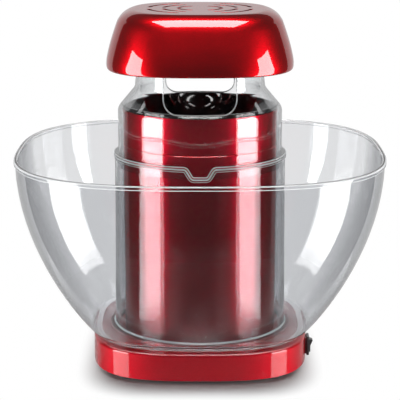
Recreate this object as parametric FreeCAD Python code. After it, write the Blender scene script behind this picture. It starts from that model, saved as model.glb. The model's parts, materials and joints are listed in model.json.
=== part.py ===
import FreeCAD, Part
import os
from math import atan2, cos, degrees, pi, radians, sin, tan

from FreeCAD import Vector

# Hot-air popcorn maker, in millimetres. Z = 0 is the table, the origin is under the middle of the
# base, the front (with the chimney's locating tab) faces -Y and the switch is on the +X side.

# --- base -------------------------------------------------------------------------------------
FOOT_HEIGHT = 3.5
FOOT_RADIUS = 7.0
FOOT_STEM_RADIUS = 2.6
FOOT_HEAD_FLARE = 0.8
FOOT_HEAD_HEIGHT = 2.4
FOOT_EDGE = 0.8
FOOT_X = 57.0
FOOT_Y = 64.0
BASE_HALF = 85.6
BASE_POWER = 3.1  # exponent of the rounded square: 2 is a circle, more is squarer
BASE_HEIGHT = 21.7
BASE_WALL = 2.5
BASE_EDGE_RADIUS = 2.2
BASE_BORE_RADIUS = 50.0
PLATE_THICKNESS = 3.0
PLATE_SKIN = 1.2  # what is left under a screw head
PLATE_GAP = 0.3
GRILLE_SLOT = 3.0
GRILLE_RADII = (14.0, 21.0, 28.0, 35.0)
GRILLE_BRIDGE = 4.0
BASE_SCREW_X = 66.0
BASE_SCREW_Y = 38.0

# --- screws and their bosses ------------------------------------------------------------------
SCREW_RADIUS = 1.5
SCREW_HEAD_RADIUS = 2.9
SCREW_HEAD_HEIGHT = 1.8
SCREW_HEAD_EDGE = 0.6
SCREW_BITE = 7.0  # how far a screw reaches into what it holds
SCREW_SPARE = 1.0  # depth of a blind hole past the screw's end
BOSS_RADIUS = 3.6
HOLE_GAP = 0.1  # radial play of a screw in any hole it passes or fills

# --- switch on the right-hand wall ------------------------------------------------------------
SWITCH_Y = -25.0
SWITCH_DROP = 0.3  # how far it sits below the middle of the wall
SWITCH_HEIGHT = 15.6
SWITCH_WIDTH = 10.6
SWITCH_BEZEL = 2.2
SWITCH_BEZEL_EDGE = 0.8
SWITCH_RIM = 1.0
SWITCH_SKIN = 0.8
SWITCH_BODY_DEPTH = 14.0
SWITCH_WELL_DEPTH = 8.0
BLADE_LENGTH = 7.0
BLADE_WIDTH = 3.2
BLADE_THICKNESS = 0.8
BLADE_PITCH = 6.4
ROCKER_TILT = 11.0
ROCKER_PROUD = 1.2
ROCKER_GAP = 0.35
ROCKER_PIN_RADIUS = 1.2
ROCKER_PIN_REACH = 0.6
ROCKER_TAPER = 0.65

# --- cord inlet in the back wall --------------------------------------------------------------
CORD_RADIUS = 3.3
BUSH_WALL = 1.2
BUSH_FLANGE = 1.8
BUSH_FLANGE_THICKNESS = 2.0
BUSH_SEAT_GAP = 0.1
BUSH_EDGE = 1.0
CLAMP_Y = 66.0
CLAMP_HALF_SPAN = 9.0
CLAMP_MARGIN = 4.0
CLAMP_BRIDGE = 3.0
CLAMP_EDGE = 1.5

# --- drum -------------------------------------------------------------------------------------
DRUM_RADIUS = 61.4
DRUM_WALL = 1.2
DRUM_HEIGHT = 178.3
DRUM_FLANGE = 9.0
DRUM_LINE_HEIGHT = 150.3
DRUM_LINE_DEPTH = 0.4
DRUM_LINE_HALF = 0.4
DRUM_SCREW_RADIUS = 56.5
DRUM_SCREWS = 3

# --- funnel rim on the drum -------------------------------------------------------------------
RIM_HEIGHT = 2.7
RIM_INSET = 0.5
RIM_SKIRT = 8.0
RIM_WALL = 2.0
RIM_LIP = 3.0
RIM_EDGE = 1.0
RIM_SKIRT_WALL = 1.5
RIM_BOSS_RADIUS = 3.0
RIM_FIT = 0.3
FUNNEL_DEPTH = 28.0
FUNNEL_FLANGE = 10.0

# --- popping chamber --------------------------------------------------------------------------
CHAMBER_RADIUS = 42.8
CHAMBER_WALL = 0.8
CHAMBER_DEPTH = 72.0
CHAMBER_FLOOR_RADIUS = 8.0
CHAMBER_FLOOR_RISE = 3.0
CHAMBER_SCREW_RADIUS = 50.0
CHAMBER_SCREWS = 3
CHAMBER_SCREW_START = 30.0
LOUVRES = 16
LOUVRE_HEIGHT = 13.0
LOUVRE_WIDTH = 2.4
LOUVRE_LIFT = 11.0
LOUVRE_VANE = 4.2
LOUVRE_ANGLE = 32.0

# --- fan duct and heater sleeve ---------------------------------------------------------------
DUCT_RADIUS = 48.0
DUCT_WALL = 2.0
DUCT_HEIGHT = 53.0
DUCT_FLANGE = 10.0
DUCT_FLANGE_THICKNESS = 2.5
SPIDER_HEIGHT = 23.0
SPIDER_THICKNESS = 3.0
SPIDER_ARM = 8.0
SPIDER_ARMS = 4
SPIDER_HUB_MARGIN = 2.0
DUCT_BOSS_RADIUS = 2.8
DUCT_LUG_RADIUS = 4.4
SLEEVE_WALL = 0.8
SLEEVE_HEIGHT = 60.0
SLEEVE_LEDGE = 4.0
SLEEVE_TOP_GAP = 0.3
SLEEVE_FOOT = 8.0
SLEEVE_SCREWS = 3
SLEEVE_SCREW_OFFSET = 3.5

# --- motor and fan ----------------------------------------------------------------------------
MOTOR_RADIUS = 14.0
MOTOR_LENGTH = 32.0
MOTOR_COVER = 3.0
MOTOR_COVER_INSET = 0.4
MOTOR_NOSE_RADIUS = 4.5
MOTOR_NOSE_HEIGHT = 2.4
MOTOR_SCREW_PITCH = 8.5
MOTOR_EDGE = 1.2
MOTOR_TAG_X = 9.0
MOTOR_TAG_WIDTH = 2.4
MOTOR_TAG_THICKNESS = 0.8
SHAFT_RADIUS = 1.6
SHAFT_GAP = 0.05
SHAFT_LENGTH = 44.0
FAN_BLADES = 9
FAN_RADIUS = 44.0
FAN_HUB_RADIUS = 9.0
FAN_HEIGHT = 12.0
FAN_LIFT = 8.0
FAN_BLADE_THICKNESS = 1.2
FAN_BLADE_MARGIN = 1.0  # from the blade's edges to the hub's faces
FAN_HUB_EDGE = 1.5
SHAFT_CHAMFER = 0.4
FAN_ROOT_ANGLE = 48.0
FAN_TIP_ANGLE = 28.0
BOARD_HALF = 12.5
BOARD_THICKNESS = 1.6
BOARD_GAP = 2.5
DIODE_RADIUS = 1.4
DIODE_LENGTH = 5.2
DIODE_X = 5.0
DIODE_Y = 6.0

# --- heater -----------------------------------------------------------------------------------
MICA_THICKNESS = 1.0
MICA_HEIGHT = 14.0
MICA_GAP = 0.1
COIL_RADII = (18.0, 25.0, 32.0)
COIL_WIDTH = 3.0
COIL_GAP = 0.15
COIL_LINK_WIDTH = 2.6
THERMOSTAT_RADIUS = 8.0
THERMOSTAT_HEIGHT = 5.0
THERMOSTAT_LIFT = 36.0
THERMOSTAT_GAP = 0.1
THERMOSTAT_EAR = 12.0
THERMOSTAT_EAR_HALF_HEIGHT = 4.0
THERMOSTAT_EAR_THICKNESS = 0.8
FUSE_RADIUS = 2.0
FUSE_LENGTH = 12.0
FUSE_STANDOFF = 0.6
FUSE_LEAD_RADIUS = 0.5
FUSE_LEAD = 6.0
FUSE_CLIP_HALF = 2.5
FUSE_CLIP_GAP = 0.05

# --- bowl -------------------------------------------------------------------------------------
BOWL_SEAT = 1.8
BOWL_SEAT_WIDTH = 4.0
BOWL_FLOOR_HALF = 84.0
BOWL_RIM_HALF = 145.0
BOWL_POWER = 2.83
BOWL_DEPTH = 143.0
BOWL_FLARE = 0.82  # how quickly the wall opens: lower is a rounder belly
BOWL_WALL = 2.4
BOWL_STEP_POWER = 1.4  # above 1 puts more wall sections near the floor, where it bends most
BOWL_FOOT_RADIUS = 1.8
BOWL_LIP = 1.0
BOWL_LIP_HEIGHT = 3.4
TUBE_HEIGHT = 139.3
TUBE_WALL = 2.4
TUBE_DRAFT = 1.4

# --- chimney ----------------------------------------------------------------------------------
CHIMNEY_GAP = 1.6
CHIMNEY_WALL = 2.2
SPIGOT_GAP = 0.4
SPIGOT_DEPTH = 7.0
COLLAR_THICKNESS = 2.1
COLLAR_LIP = 1.0
SHOULDER_DROP = 4.9  # from the funnel rim down to where the shoulder starts
SHOULDER_HEIGHT = 22.0
NECK_RADIUS = 51.4
NECK_TOP_RADIUS = 49.8
CHIMNEY_RISE = 55.8  # from the funnel rim up to the neck's top edge
WINDOW_HALF = 27.8
WINDOW_LIFT = 0.8  # from the funnel rim up to the windows' sill
WINDOW_HEIGHT = 41.0
WINDOW_CORNER = 10.0
TAB_TOP_HALF = 10.0
TAB_BOTTOM_HALF = 5.2
TAB_DEPTH = 7.8
TAB_GAP = 0.3

# --- cap --------------------------------------------------------------------------------------
CAP_HALF = 74.4
CAP_TOP_HALF = 61.4
CAP_POWER = 2.75
CAP_HEIGHT = 45.6
CAP_WALL = 2.5
CAP_SHOULDER = 16.0
CAP_FOOT_EDGE = 1.4  # chamfer along the skirt's outer bottom edge
VENT_RADII = (17.0, 29.0, 41.0)
VENT_WIDTH = 3.2
VENT_FROM = 12.0
VENT_TO = 65.0
LINER_WALL = 1.6
LINER_GAP = 0.5
LINER_SKIRT = 22.0
LINER_LEDGE = 2.0
LINER_SHELF = 3.5
LINER_RISE = 15.5
LINER_LUG = 2.0
CAP_SCREW_RADIUS = 58.0
CAP_SCREWS = 4
CAP_BOSS_RADIUS = 3.2
CAP_SCREW_BITE = 4.0

# --- levels and radii that follow from the sizes above ----------------------------------------
BASE_TOP = FOOT_HEIGHT + BASE_HEIGHT
PLATE_TOP = FOOT_HEIGHT + PLATE_THICKNESS
DRUM_TOP = BASE_TOP + DRUM_HEIGHT
DRUM_BORE = DRUM_RADIUS - DRUM_WALL
RIM_TOP = DRUM_TOP + RIM_HEIGHT
FUNNEL_BOTTOM = RIM_TOP - FUNNEL_DEPTH
FUNNEL_FLANGE_BOTTOM = FUNNEL_BOTTOM - RIM_WALL
CHAMBER_BOTTOM = FUNNEL_FLANGE_BOTTOM - CHAMBER_DEPTH
DUCT_BOTTOM = BASE_TOP + DRUM_WALL
DUCT_TOP = DUCT_BOTTOM + DUCT_HEIGHT
DUCT_BORE = DUCT_RADIUS - DUCT_WALL
SPIDER_BOTTOM = DUCT_BOTTOM + SPIDER_HEIGHT
SPIDER_TOP = SPIDER_BOTTOM + SPIDER_THICKNESS
MOTOR_BOTTOM = SPIDER_BOTTOM - MOTOR_LENGTH
FAN_BOTTOM = SPIDER_TOP + FAN_LIFT
SLEEVE_BORE = DUCT_RADIUS - SLEEVE_WALL
LEDGE_TOP = DUCT_TOP + 2 * SLEEVE_WALL
MICA_TOP = LEDGE_TOP + MICA_HEIGHT
BOWL_BOTTOM = BASE_TOP + BOWL_SEAT
BOWL_TOP = BOWL_BOTTOM + BOWL_DEPTH
CHIMNEY_BORE = DRUM_RADIUS + CHIMNEY_GAP
CHIMNEY_RADIUS = CHIMNEY_BORE + CHIMNEY_WALL
TUBE_BORE = CHIMNEY_RADIUS + SPIGOT_GAP
TUBE_RADIUS = TUBE_BORE + TUBE_WALL
COLLAR_RADIUS = TUBE_RADIUS + COLLAR_LIP
TUBE_TOP = BOWL_BOTTOM + TUBE_HEIGHT
COLLAR_TOP = TUBE_TOP + COLLAR_THICKNESS
CHIMNEY_TOP = RIM_TOP + CHIMNEY_RISE
LINER_TOP = CHIMNEY_TOP + LINER_LEDGE + LINER_RISE
CAP_TOP = LINER_TOP + CAP_WALL
CAP_BOTTOM = CAP_TOP - CAP_HEIGHT
LINER_BORE = NECK_TOP_RADIUS + LINER_GAP
LINER_RADIUS = LINER_BORE + LINER_WALL

CUT = 1.0  # how far a cutting shape runs past the face it opens
QUARTER_POINTS = 8
BOWL_SECTIONS = 7
UP = Vector(0, 0, 1)


# --- shared shapes ----------------------------------------------------------------------------
def turned(shape, angle, axis=UP, about=Vector(0, 0, 0)):
    """Copy of a shape turned by an angle in degrees."""
    copy = shape.copy()
    copy.rotate(about, axis, angle)
    return copy


def squircle(half, power, z):
    """Closed outline of a rounded square with |x|^power + |y|^power = half^power, in four quarters."""
    points = []
    for i in range(QUARTER_POINTS + 1):
        angle = pi / 2 * i / QUARTER_POINTS
        reach = half / (cos(angle) ** power + sin(angle) ** power) ** (1 / power)
        points.append(Vector(reach * cos(angle), reach * sin(angle), z))
    points[-1] = Vector(0, half, z)
    curve = Part.BSplineCurve()
    curve.interpolate(Points=points, InitialTangent=Vector(0, 1, 0), FinalTangent=Vector(-1, 0, 0))
    quarter = curve.toShape()
    return Part.Wire([turned(quarter, 90 * i) for i in range(4)])


def squircle_block(half, power, low, high):
    """Upright rounded-square block."""
    face = Part.Face(squircle(half, power, low))
    return face.extrude(UP * (high - low))


def squircle_loft(sections, power):
    """Smooth solid through rounded squares given as (half width, level)."""
    wires = [squircle(half, power, z) for half, z in sections]
    return Part.makeLoft(wires, True, False)


def disc(radius, low, high, x=0.0, y=0.0):
    """Upright cylinder."""
    return Part.makeCylinder(radius, high - low, Vector(x, y, low))


def ring(outer, inner, low, high, x=0.0, y=0.0):
    """Upright tube."""
    return disc(outer, low, high, x, y).cut(disc(inner, low, high, x, y))


def block(x0, x1, y0, y1, z0, z1):
    """Box between two corners."""
    return Part.makeBox(x1 - x0, y1 - y0, z1 - z0, Vector(x0, y0, z0))


def lathe(profile):
    """Solid turned about Z from a closed profile of (radius, level) corners."""
    points = [Vector(r, 0, z) for r, z in profile]
    face = Part.Face(Part.makePolygon(points + points[:1]))
    return face.revolve(Vector(0, 0, 0), UP, 360)


def join(shapes):
    """One solid from shapes that meet."""
    first, *rest = shapes
    return first.fuse(rest).removeSplitter() if rest else first


def around(count, radius, start=0.0):
    """Evenly spaced places on a circle, as (x, y)."""
    angles = [radians(start) + 2 * pi * i / count for i in range(count)]
    return [(radius * cos(a), radius * sin(a)) for a in angles]


def corners(x, y):
    """The four places that mirror (x, y) in both planes of symmetry."""
    return [(x, y), (-x, y), (-x, -y), (x, -y)]


def screw(x, y, head_bottom, length):
    """Pan-head screw pointing up, its head's underside at head_bottom + head height."""
    head = disc(SCREW_HEAD_RADIUS, head_bottom, head_bottom + SCREW_HEAD_HEIGHT, x, y)
    head = head.makeChamfer(SCREW_HEAD_EDGE, [head.Edges[2]])
    return head.fuse(disc(SCREW_RADIUS, head_bottom, head_bottom + SCREW_HEAD_HEIGHT + length, x, y))


def screw_hole(x, y, low, high):
    """Hole for a screw's shank."""
    return disc(SCREW_RADIUS + HOLE_GAP, low, high, x, y)


def arc_slot(radius, width, start, end, low, high):
    """Curved slot with round ends, between two angles in degrees."""
    half = width / 2
    face = Part.Face(Part.makePolygon([
        Vector(radius - half, 0, low), Vector(radius + half, 0, low),
        Vector(radius + half, 0, high), Vector(radius - half, 0, high),
        Vector(radius - half, 0, low)]))
    slot = turned(face.revolve(Vector(0, 0, 0), UP, end - start), start)
    ends = [disc(half, low, high, radius * cos(radians(a)), radius * sin(radians(a)))
            for a in (start, end)]
    return slot.fuse(ends)


# --- base -------------------------------------------------------------------------------------
def base_housing():
    """Rounded-square shell, open below, with a raised seat for the bowl and a bore under the drum."""
    outer = squircle_block(BASE_HALF, BASE_POWER, FOOT_HEIGHT, BASE_TOP)
    top_edge = [e for e in outer.Edges if e.BoundBox.ZMin > BASE_TOP - 0.01]
    outer = outer.makeFillet(BASE_EDGE_RADIUS, top_edge)
    inside = squircle_block(BASE_HALF - BASE_WALL, BASE_POWER, FOOT_HEIGHT, BASE_TOP - BASE_WALL)
    shell = outer.cut(inside)
    seat = ring(TUBE_RADIUS + TUBE_DRAFT + BOWL_SEAT_WIDTH, TUBE_RADIUS + TUBE_DRAFT, BASE_TOP, BOWL_BOTTOM)
    bosses = [disc(BOSS_RADIUS, PLATE_TOP, BASE_TOP - BASE_WALL, x, y)
              for x, y in corners(BASE_SCREW_X, BASE_SCREW_Y)]
    shell = join([shell, seat] + bosses)
    holes = [disc(BASE_BORE_RADIUS, FOOT_HEIGHT, BASE_TOP)]
    holes += [screw_hole(x, y, PLATE_TOP, PLATE_TOP + SCREW_BITE + SCREW_SPARE)
              for x, y in corners(BASE_SCREW_X, BASE_SCREW_Y)]
    holes += [screw_hole(x, y, FOOT_HEIGHT, BASE_TOP) for x, y in drum_screw_places()]
    holes.append(switch_cutout(HOLE_GAP))
    holes.append(cord_hole(CORD_RADIUS + BUSH_WALL + HOLE_GAP))
    return shell.cut(holes)


def foot_places():
    return corners(FOOT_X, FOOT_Y)


def base_plate():
    """Bottom cover: ringed air-inlet grille, holes for the feet and the screws."""
    half = BASE_HALF - BASE_WALL - PLATE_GAP
    plate = squircle_block(half, BASE_POWER, FOOT_HEIGHT, PLATE_TOP)
    cuts = []
    for radius in GRILLE_RADII:
        bridge = degrees((GRILLE_BRIDGE + GRILLE_SLOT) / radius)
        for quarter in range(4):
            start = 90 * quarter + bridge / 2
            cuts.append(arc_slot(radius, GRILLE_SLOT, start, start + 90 - bridge, FOOT_HEIGHT, PLATE_TOP))
    for x, y in foot_places():
        cuts.append(disc(FOOT_STEM_RADIUS + HOLE_GAP, FOOT_HEIGHT, PLATE_TOP, x, y))
    for x, y in corners(BASE_SCREW_X, BASE_SCREW_Y) + cord_posts():
        cuts.append(screw_hole(x, y, FOOT_HEIGHT, PLATE_TOP))
        cuts.append(disc(SCREW_HEAD_RADIUS + HOLE_GAP, FOOT_HEIGHT, PLATE_TOP - PLATE_SKIN, x, y))
    return plate.cut(cuts)


def rubber_feet():
    """Round feet, each with a stem and a head that snaps over the plate."""
    feet = []
    for x, y in foot_places():
        pad = disc(FOOT_RADIUS, 0, FOOT_HEIGHT, x, y)
        pad = pad.makeChamfer(FOOT_EDGE, [pad.Edges[2]])
        stem = disc(FOOT_STEM_RADIUS, FOOT_HEIGHT, PLATE_TOP, x, y)
        head = Part.makeCone(FOOT_STEM_RADIUS + FOOT_HEAD_FLARE, FOOT_STEM_RADIUS - FOOT_HEAD_FLARE,
                             FOOT_HEAD_HEIGHT, Vector(x, y, PLATE_TOP))
        feet.append(pad.fuse([stem, head]))
    return Part.Compound(feet)


def base_screws():
    bottom = PLATE_TOP - PLATE_SKIN - SCREW_HEAD_HEIGHT
    length = PLATE_SKIN + SCREW_BITE
    return Part.Compound([screw(x, y, bottom, length) for x, y in corners(BASE_SCREW_X, BASE_SCREW_Y)])


# --- cord inlet -------------------------------------------------------------------------------
def cord_level():
    return FOOT_HEIGHT + BASE_HEIGHT / 2


def along_y(radius, y0, y1):
    """Cylinder along Y at the cord's level."""
    return Part.makeCylinder(radius, y1 - y0, Vector(0, y0, cord_level()), Vector(0, 1, 0))


def cord_hole(radius):
    return along_y(radius, BASE_HALF - 2 * BASE_WALL, BASE_HALF + BASE_WALL)


def cord_bush():
    """Rubber bush in the back wall with a flange on both faces of the wall."""
    neck = CORD_RADIUS + BUSH_WALL
    outside = along_y(neck + BUSH_FLANGE, BASE_HALF, BASE_HALF + BUSH_FLANGE_THICKNESS)
    outside = outside.makeChamfer(BUSH_EDGE, [outside.Edges[0]])
    middle = along_y(neck, BASE_HALF - BASE_WALL, BASE_HALF)
    inner = BASE_HALF - BASE_WALL - BUSH_SEAT_GAP
    inside = along_y(neck + BUSH_FLANGE / 2, inner - BUSH_FLANGE_THICKNESS, inner)
    core = along_y(neck, inner, BASE_HALF - BASE_WALL)
    whole = outside.fuse([middle, core, inside])
    return whole.cut(along_y(CORD_RADIUS, 0, 2 * BASE_HALF))


def cord_posts():
    return [(-CLAMP_HALF_SPAN, CLAMP_Y), (CLAMP_HALF_SPAN, CLAMP_Y)]


def cord_clamp():
    """Bar over the cord, standing on the bottom cover on two feet."""
    top = cord_level() + CORD_RADIUS + CLAMP_BRIDGE
    reach = CLAMP_HALF_SPAN + CLAMP_MARGIN
    front = CLAMP_Y - CLAMP_MARGIN
    back = CLAMP_Y + CLAMP_MARGIN
    bar = block(-reach, reach, front, back, PLATE_TOP, top)
    bar = bar.makeChamfer(CLAMP_EDGE, [e for e in bar.Edges if e.BoundBox.ZMin > top - 0.01])
    half = CORD_RADIUS + HOLE_GAP
    tunnel = along_y(half, front, back)
    slot = block(-half, half, front, back, PLATE_TOP, cord_level())
    holes = [screw_hole(x, y, PLATE_TOP, PLATE_TOP + SCREW_BITE + SCREW_SPARE) for x, y in cord_posts()]
    return bar.cut([tunnel, slot] + holes)


def clamp_screws():
    bottom = PLATE_TOP - PLATE_SKIN - SCREW_HEAD_HEIGHT
    length = PLATE_SKIN + SCREW_BITE
    return Part.Compound([screw(x, y, bottom, length) for x, y in cord_posts()])


# --- switch -----------------------------------------------------------------------------------
def switch_level():
    return FOOT_HEIGHT + BASE_HEIGHT / 2 - SWITCH_DROP


def switch_box(grow, x0, x1):
    """Block along X centred on the switch, its face smaller than the bezel by -grow."""
    wide = SWITCH_WIDTH / 2 + grow
    tall = SWITCH_HEIGHT / 2 + grow
    level = switch_level()
    return block(x0, x1, SWITCH_Y - wide, SWITCH_Y + wide, level - tall, level + tall)


def switch_cutout(gap):
    return switch_box(gap - SWITCH_RIM, BASE_HALF - 3 * BASE_WALL, BASE_HALF + BASE_WALL)


def rocker_axis():
    return Vector(BASE_HALF + SWITCH_BEZEL - 2 * ROCKER_PIN_RADIUS, SWITCH_Y, switch_level())


def rocker_pin(radius, reach):
    """Pin across the rocker, standing out of the well's two walls by reach."""
    half = SWITCH_WIDTH / 2 - SWITCH_RIM - SWITCH_SKIN + reach
    return Part.makeCylinder(radius, 2 * half, rocker_axis() - Vector(0, half, 0), Vector(0, 1, 0))


def switch_frame():
    """Bezel and the box behind it, with a well for the rocker and bearings for its pins."""
    face = BASE_HALF + SWITCH_BEZEL
    bezel = switch_box(0, BASE_HALF, face)
    bezel = bezel.makeFillet(SWITCH_BEZEL_EDGE, [e for e in bezel.Edges if e.BoundBox.XMin > face - 0.01])
    body = switch_box(-SWITCH_RIM, BASE_HALF - SWITCH_BODY_DEPTH, BASE_HALF)
    well = switch_box(-SWITCH_RIM - SWITCH_SKIN, BASE_HALF - SWITCH_WELL_DEPTH, face + CUT)
    bearing = rocker_pin(ROCKER_PIN_RADIUS + SHAFT_GAP, ROCKER_PIN_REACH + HOLE_GAP)
    return bezel.fuse(body).cut([well, bearing])


def switch_rocker():
    """Rocker with a shallow V face and two pins, stored with its lower end pressed in."""
    axis = rocker_axis()
    inset = SWITCH_RIM + SWITCH_SKIN + ROCKER_GAP
    tall = SWITCH_HEIGHT / 2 - inset
    wide = SWITCH_WIDTH / 2 - inset
    crown = axis.x + 2 * ROCKER_PIN_RADIUS + ROCKER_PROUD
    tip = tall - ROCKER_TAPER
    rise = tip * tan(radians(ROCKER_TILT))
    root = axis.x - ROCKER_PIN_RADIUS
    outline = [
        Vector(root, axis.y - wide, axis.z - tall / 2), Vector(axis.x, axis.y - wide, axis.z - tall),
        Vector(crown + rise, axis.y - wide, axis.z - tip), Vector(crown, axis.y - wide, axis.z),
        Vector(crown + rise, axis.y - wide, axis.z + tip), Vector(axis.x, axis.y - wide, axis.z + tall),
        Vector(root, axis.y - wide, axis.z + tall / 2)]
    paddle = Part.Face(Part.makePolygon(outline + outline[:1])).extrude(Vector(0, 2 * wide, 0))
    whole = paddle.fuse(rocker_pin(ROCKER_PIN_RADIUS, ROCKER_PIN_REACH))
    return turned(whole, ROCKER_TILT, Vector(0, 1, 0), axis)


def switch_terminals():
    """Two blades on the back of the switch."""
    back = BASE_HALF - SWITCH_BODY_DEPTH
    wide = BLADE_WIDTH / 2
    thick = BLADE_THICKNESS / 2
    blades = []
    for side in (-1, 1):
        z = switch_level() + side * BLADE_PITCH / 2
        blades.append(block(back - BLADE_LENGTH, back, SWITCH_Y - wide, SWITCH_Y + wide, z - thick, z + thick))
    return Part.Compound(blades)


# --- drum, funnel and chamber -----------------------------------------------------------------
def drum_screw_places():
    return around(DRUM_SCREWS, DRUM_SCREW_RADIUS, 90)


def drum_shell():
    """Thin red drum with a turned-in foot flange and a fine line round it."""
    wall = ring(DRUM_RADIUS, DRUM_BORE, BASE_TOP, DRUM_TOP)
    foot = ring(DRUM_RADIUS, DRUM_RADIUS - DRUM_FLANGE, BASE_TOP, DUCT_BOTTOM)
    line = BASE_TOP + DRUM_LINE_HEIGHT
    spread = DRUM_LINE_HALF * (DRUM_LINE_DEPTH + CUT) / DRUM_LINE_DEPTH
    groove = lathe([(DRUM_RADIUS + CUT, line - spread), (DRUM_RADIUS + CUT, line + spread),
                    (DRUM_RADIUS - DRUM_LINE_DEPTH, line)])
    holes = [screw_hole(x, y, BASE_TOP, DUCT_BOTTOM) for x, y in drum_screw_places()]
    return join([wall, foot]).cut([groove] + holes)


def funnel_radii():
    """Inner radius of the funnel at its mouth and at its throat."""
    return DRUM_RADIUS - RIM_INSET - RIM_LIP, CHAMBER_RADIUS


def funnel_rim():
    """Glossy ring on the drum's edge with the funnel down to the chamber's mouth."""
    mouth, throat = funnel_radii()
    lip = DRUM_RADIUS - RIM_INSET
    skirt = DRUM_BORE - RIM_FIT
    low = DRUM_TOP - RIM_SKIRT
    slope = (mouth - throat) / FUNNEL_DEPTH
    skirt_root = throat + slope * (low - FUNNEL_BOTTOM) + RIM_WALL
    inside = skirt - RIM_SKIRT_WALL
    roof = DRUM_TOP - RIM_HEIGHT
    roof_root = throat + slope * (roof - FUNNEL_BOTTOM) + RIM_WALL
    profile = [
        (mouth, RIM_TOP - RIM_EDGE), (mouth + RIM_EDGE, RIM_TOP),
        (lip - RIM_EDGE, RIM_TOP), (lip, RIM_TOP - RIM_EDGE), (lip, DRUM_TOP), (skirt, DRUM_TOP),
        (skirt, low), (inside, low), (inside, roof), (min(roof_root, inside), roof),
        (min(skirt_root, inside), low), (throat + RIM_WALL, FUNNEL_BOTTOM),
        (throat + FUNNEL_FLANGE, FUNNEL_BOTTOM), (throat + FUNNEL_FLANGE, FUNNEL_FLANGE_BOTTOM),
        (throat, FUNNEL_FLANGE_BOTTOM), (throat, FUNNEL_BOTTOM)]
    rim = lathe(profile)
    places = chamber_screw_places()
    tip = FUNNEL_FLANGE_BOTTOM + SCREW_BITE
    bosses = [disc(RIM_BOSS_RADIUS, FUNNEL_BOTTOM, tip + 2 * SCREW_SPARE, x, y) for x, y in places]
    holes = [screw_hole(x, y, FUNNEL_FLANGE_BOTTOM, tip + SCREW_SPARE) for x, y in places]
    return join([rim] + bosses).cut(holes)


def chamber_screw_places():
    return around(CHAMBER_SCREWS, CHAMBER_SCREW_RADIUS, CHAMBER_SCREW_START)


def popping_chamber():
    """Drawn cup with a domed floor and slanted louvres that make the hot air swirl."""
    inner = CHAMBER_RADIUS - CHAMBER_WALL
    top = FUNNEL_FLANGE_BOTTOM
    low = CHAMBER_BOTTOM
    bend = CHAMBER_FLOOR_RADIUS
    crown = low + CHAMBER_FLOOR_RISE
    profile = [
        (0, crown - CHAMBER_WALL), (CHAMBER_RADIUS - 2 * bend, low), (CHAMBER_RADIUS - bend, low),
        (CHAMBER_RADIUS - 0.3 * bend, low + 0.3 * bend), (CHAMBER_RADIUS, low + bend),
        (CHAMBER_RADIUS, top - CHAMBER_WALL), (CHAMBER_RADIUS + FUNNEL_FLANGE, top - CHAMBER_WALL),
        (CHAMBER_RADIUS + FUNNEL_FLANGE, top), (inner, top), (inner, low + bend),
        (inner - 0.3 * bend, low + 0.3 * bend + CHAMBER_WALL), (inner - bend, low + CHAMBER_WALL),
        (CHAMBER_RADIUS - 2 * bend, low + CHAMBER_WALL), (0, crown)]
    cup = lathe(profile)
    slot_low = low + LOUVRE_LIFT
    slot = block(inner - CUT, CHAMBER_RADIUS + CUT, -LOUVRE_WIDTH / 2, LOUVRE_WIDTH / 2,
                 slot_low, slot_low + LOUVRE_HEIGHT)
    vane = block(-LOUVRE_VANE, CHAMBER_WALL / 2, 0, CHAMBER_WALL, slot_low, slot_low + LOUVRE_HEIGHT)
    vane = turned(vane, LOUVRE_ANGLE)
    vane.translate(Vector(inner + CHAMBER_WALL / 2, LOUVRE_WIDTH / 2, 0))
    step = 360 / LOUVRES
    slots = [turned(slot, i * step) for i in range(LOUVRES)]
    vanes = [turned(vane, i * step) for i in range(LOUVRES)]
    holes = [screw_hole(x, y, top - 2 * CHAMBER_WALL, top) for x, y in chamber_screw_places()]
    return cup.cut(slots + holes).fuse(vanes)


def chamber_screws():
    bottom = FUNNEL_FLANGE_BOTTOM - CHAMBER_WALL - SCREW_HEAD_HEIGHT
    length = CHAMBER_WALL + SCREW_BITE
    return Part.Compound([screw(x, y, bottom, length) for x, y in chamber_screw_places()])


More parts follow.
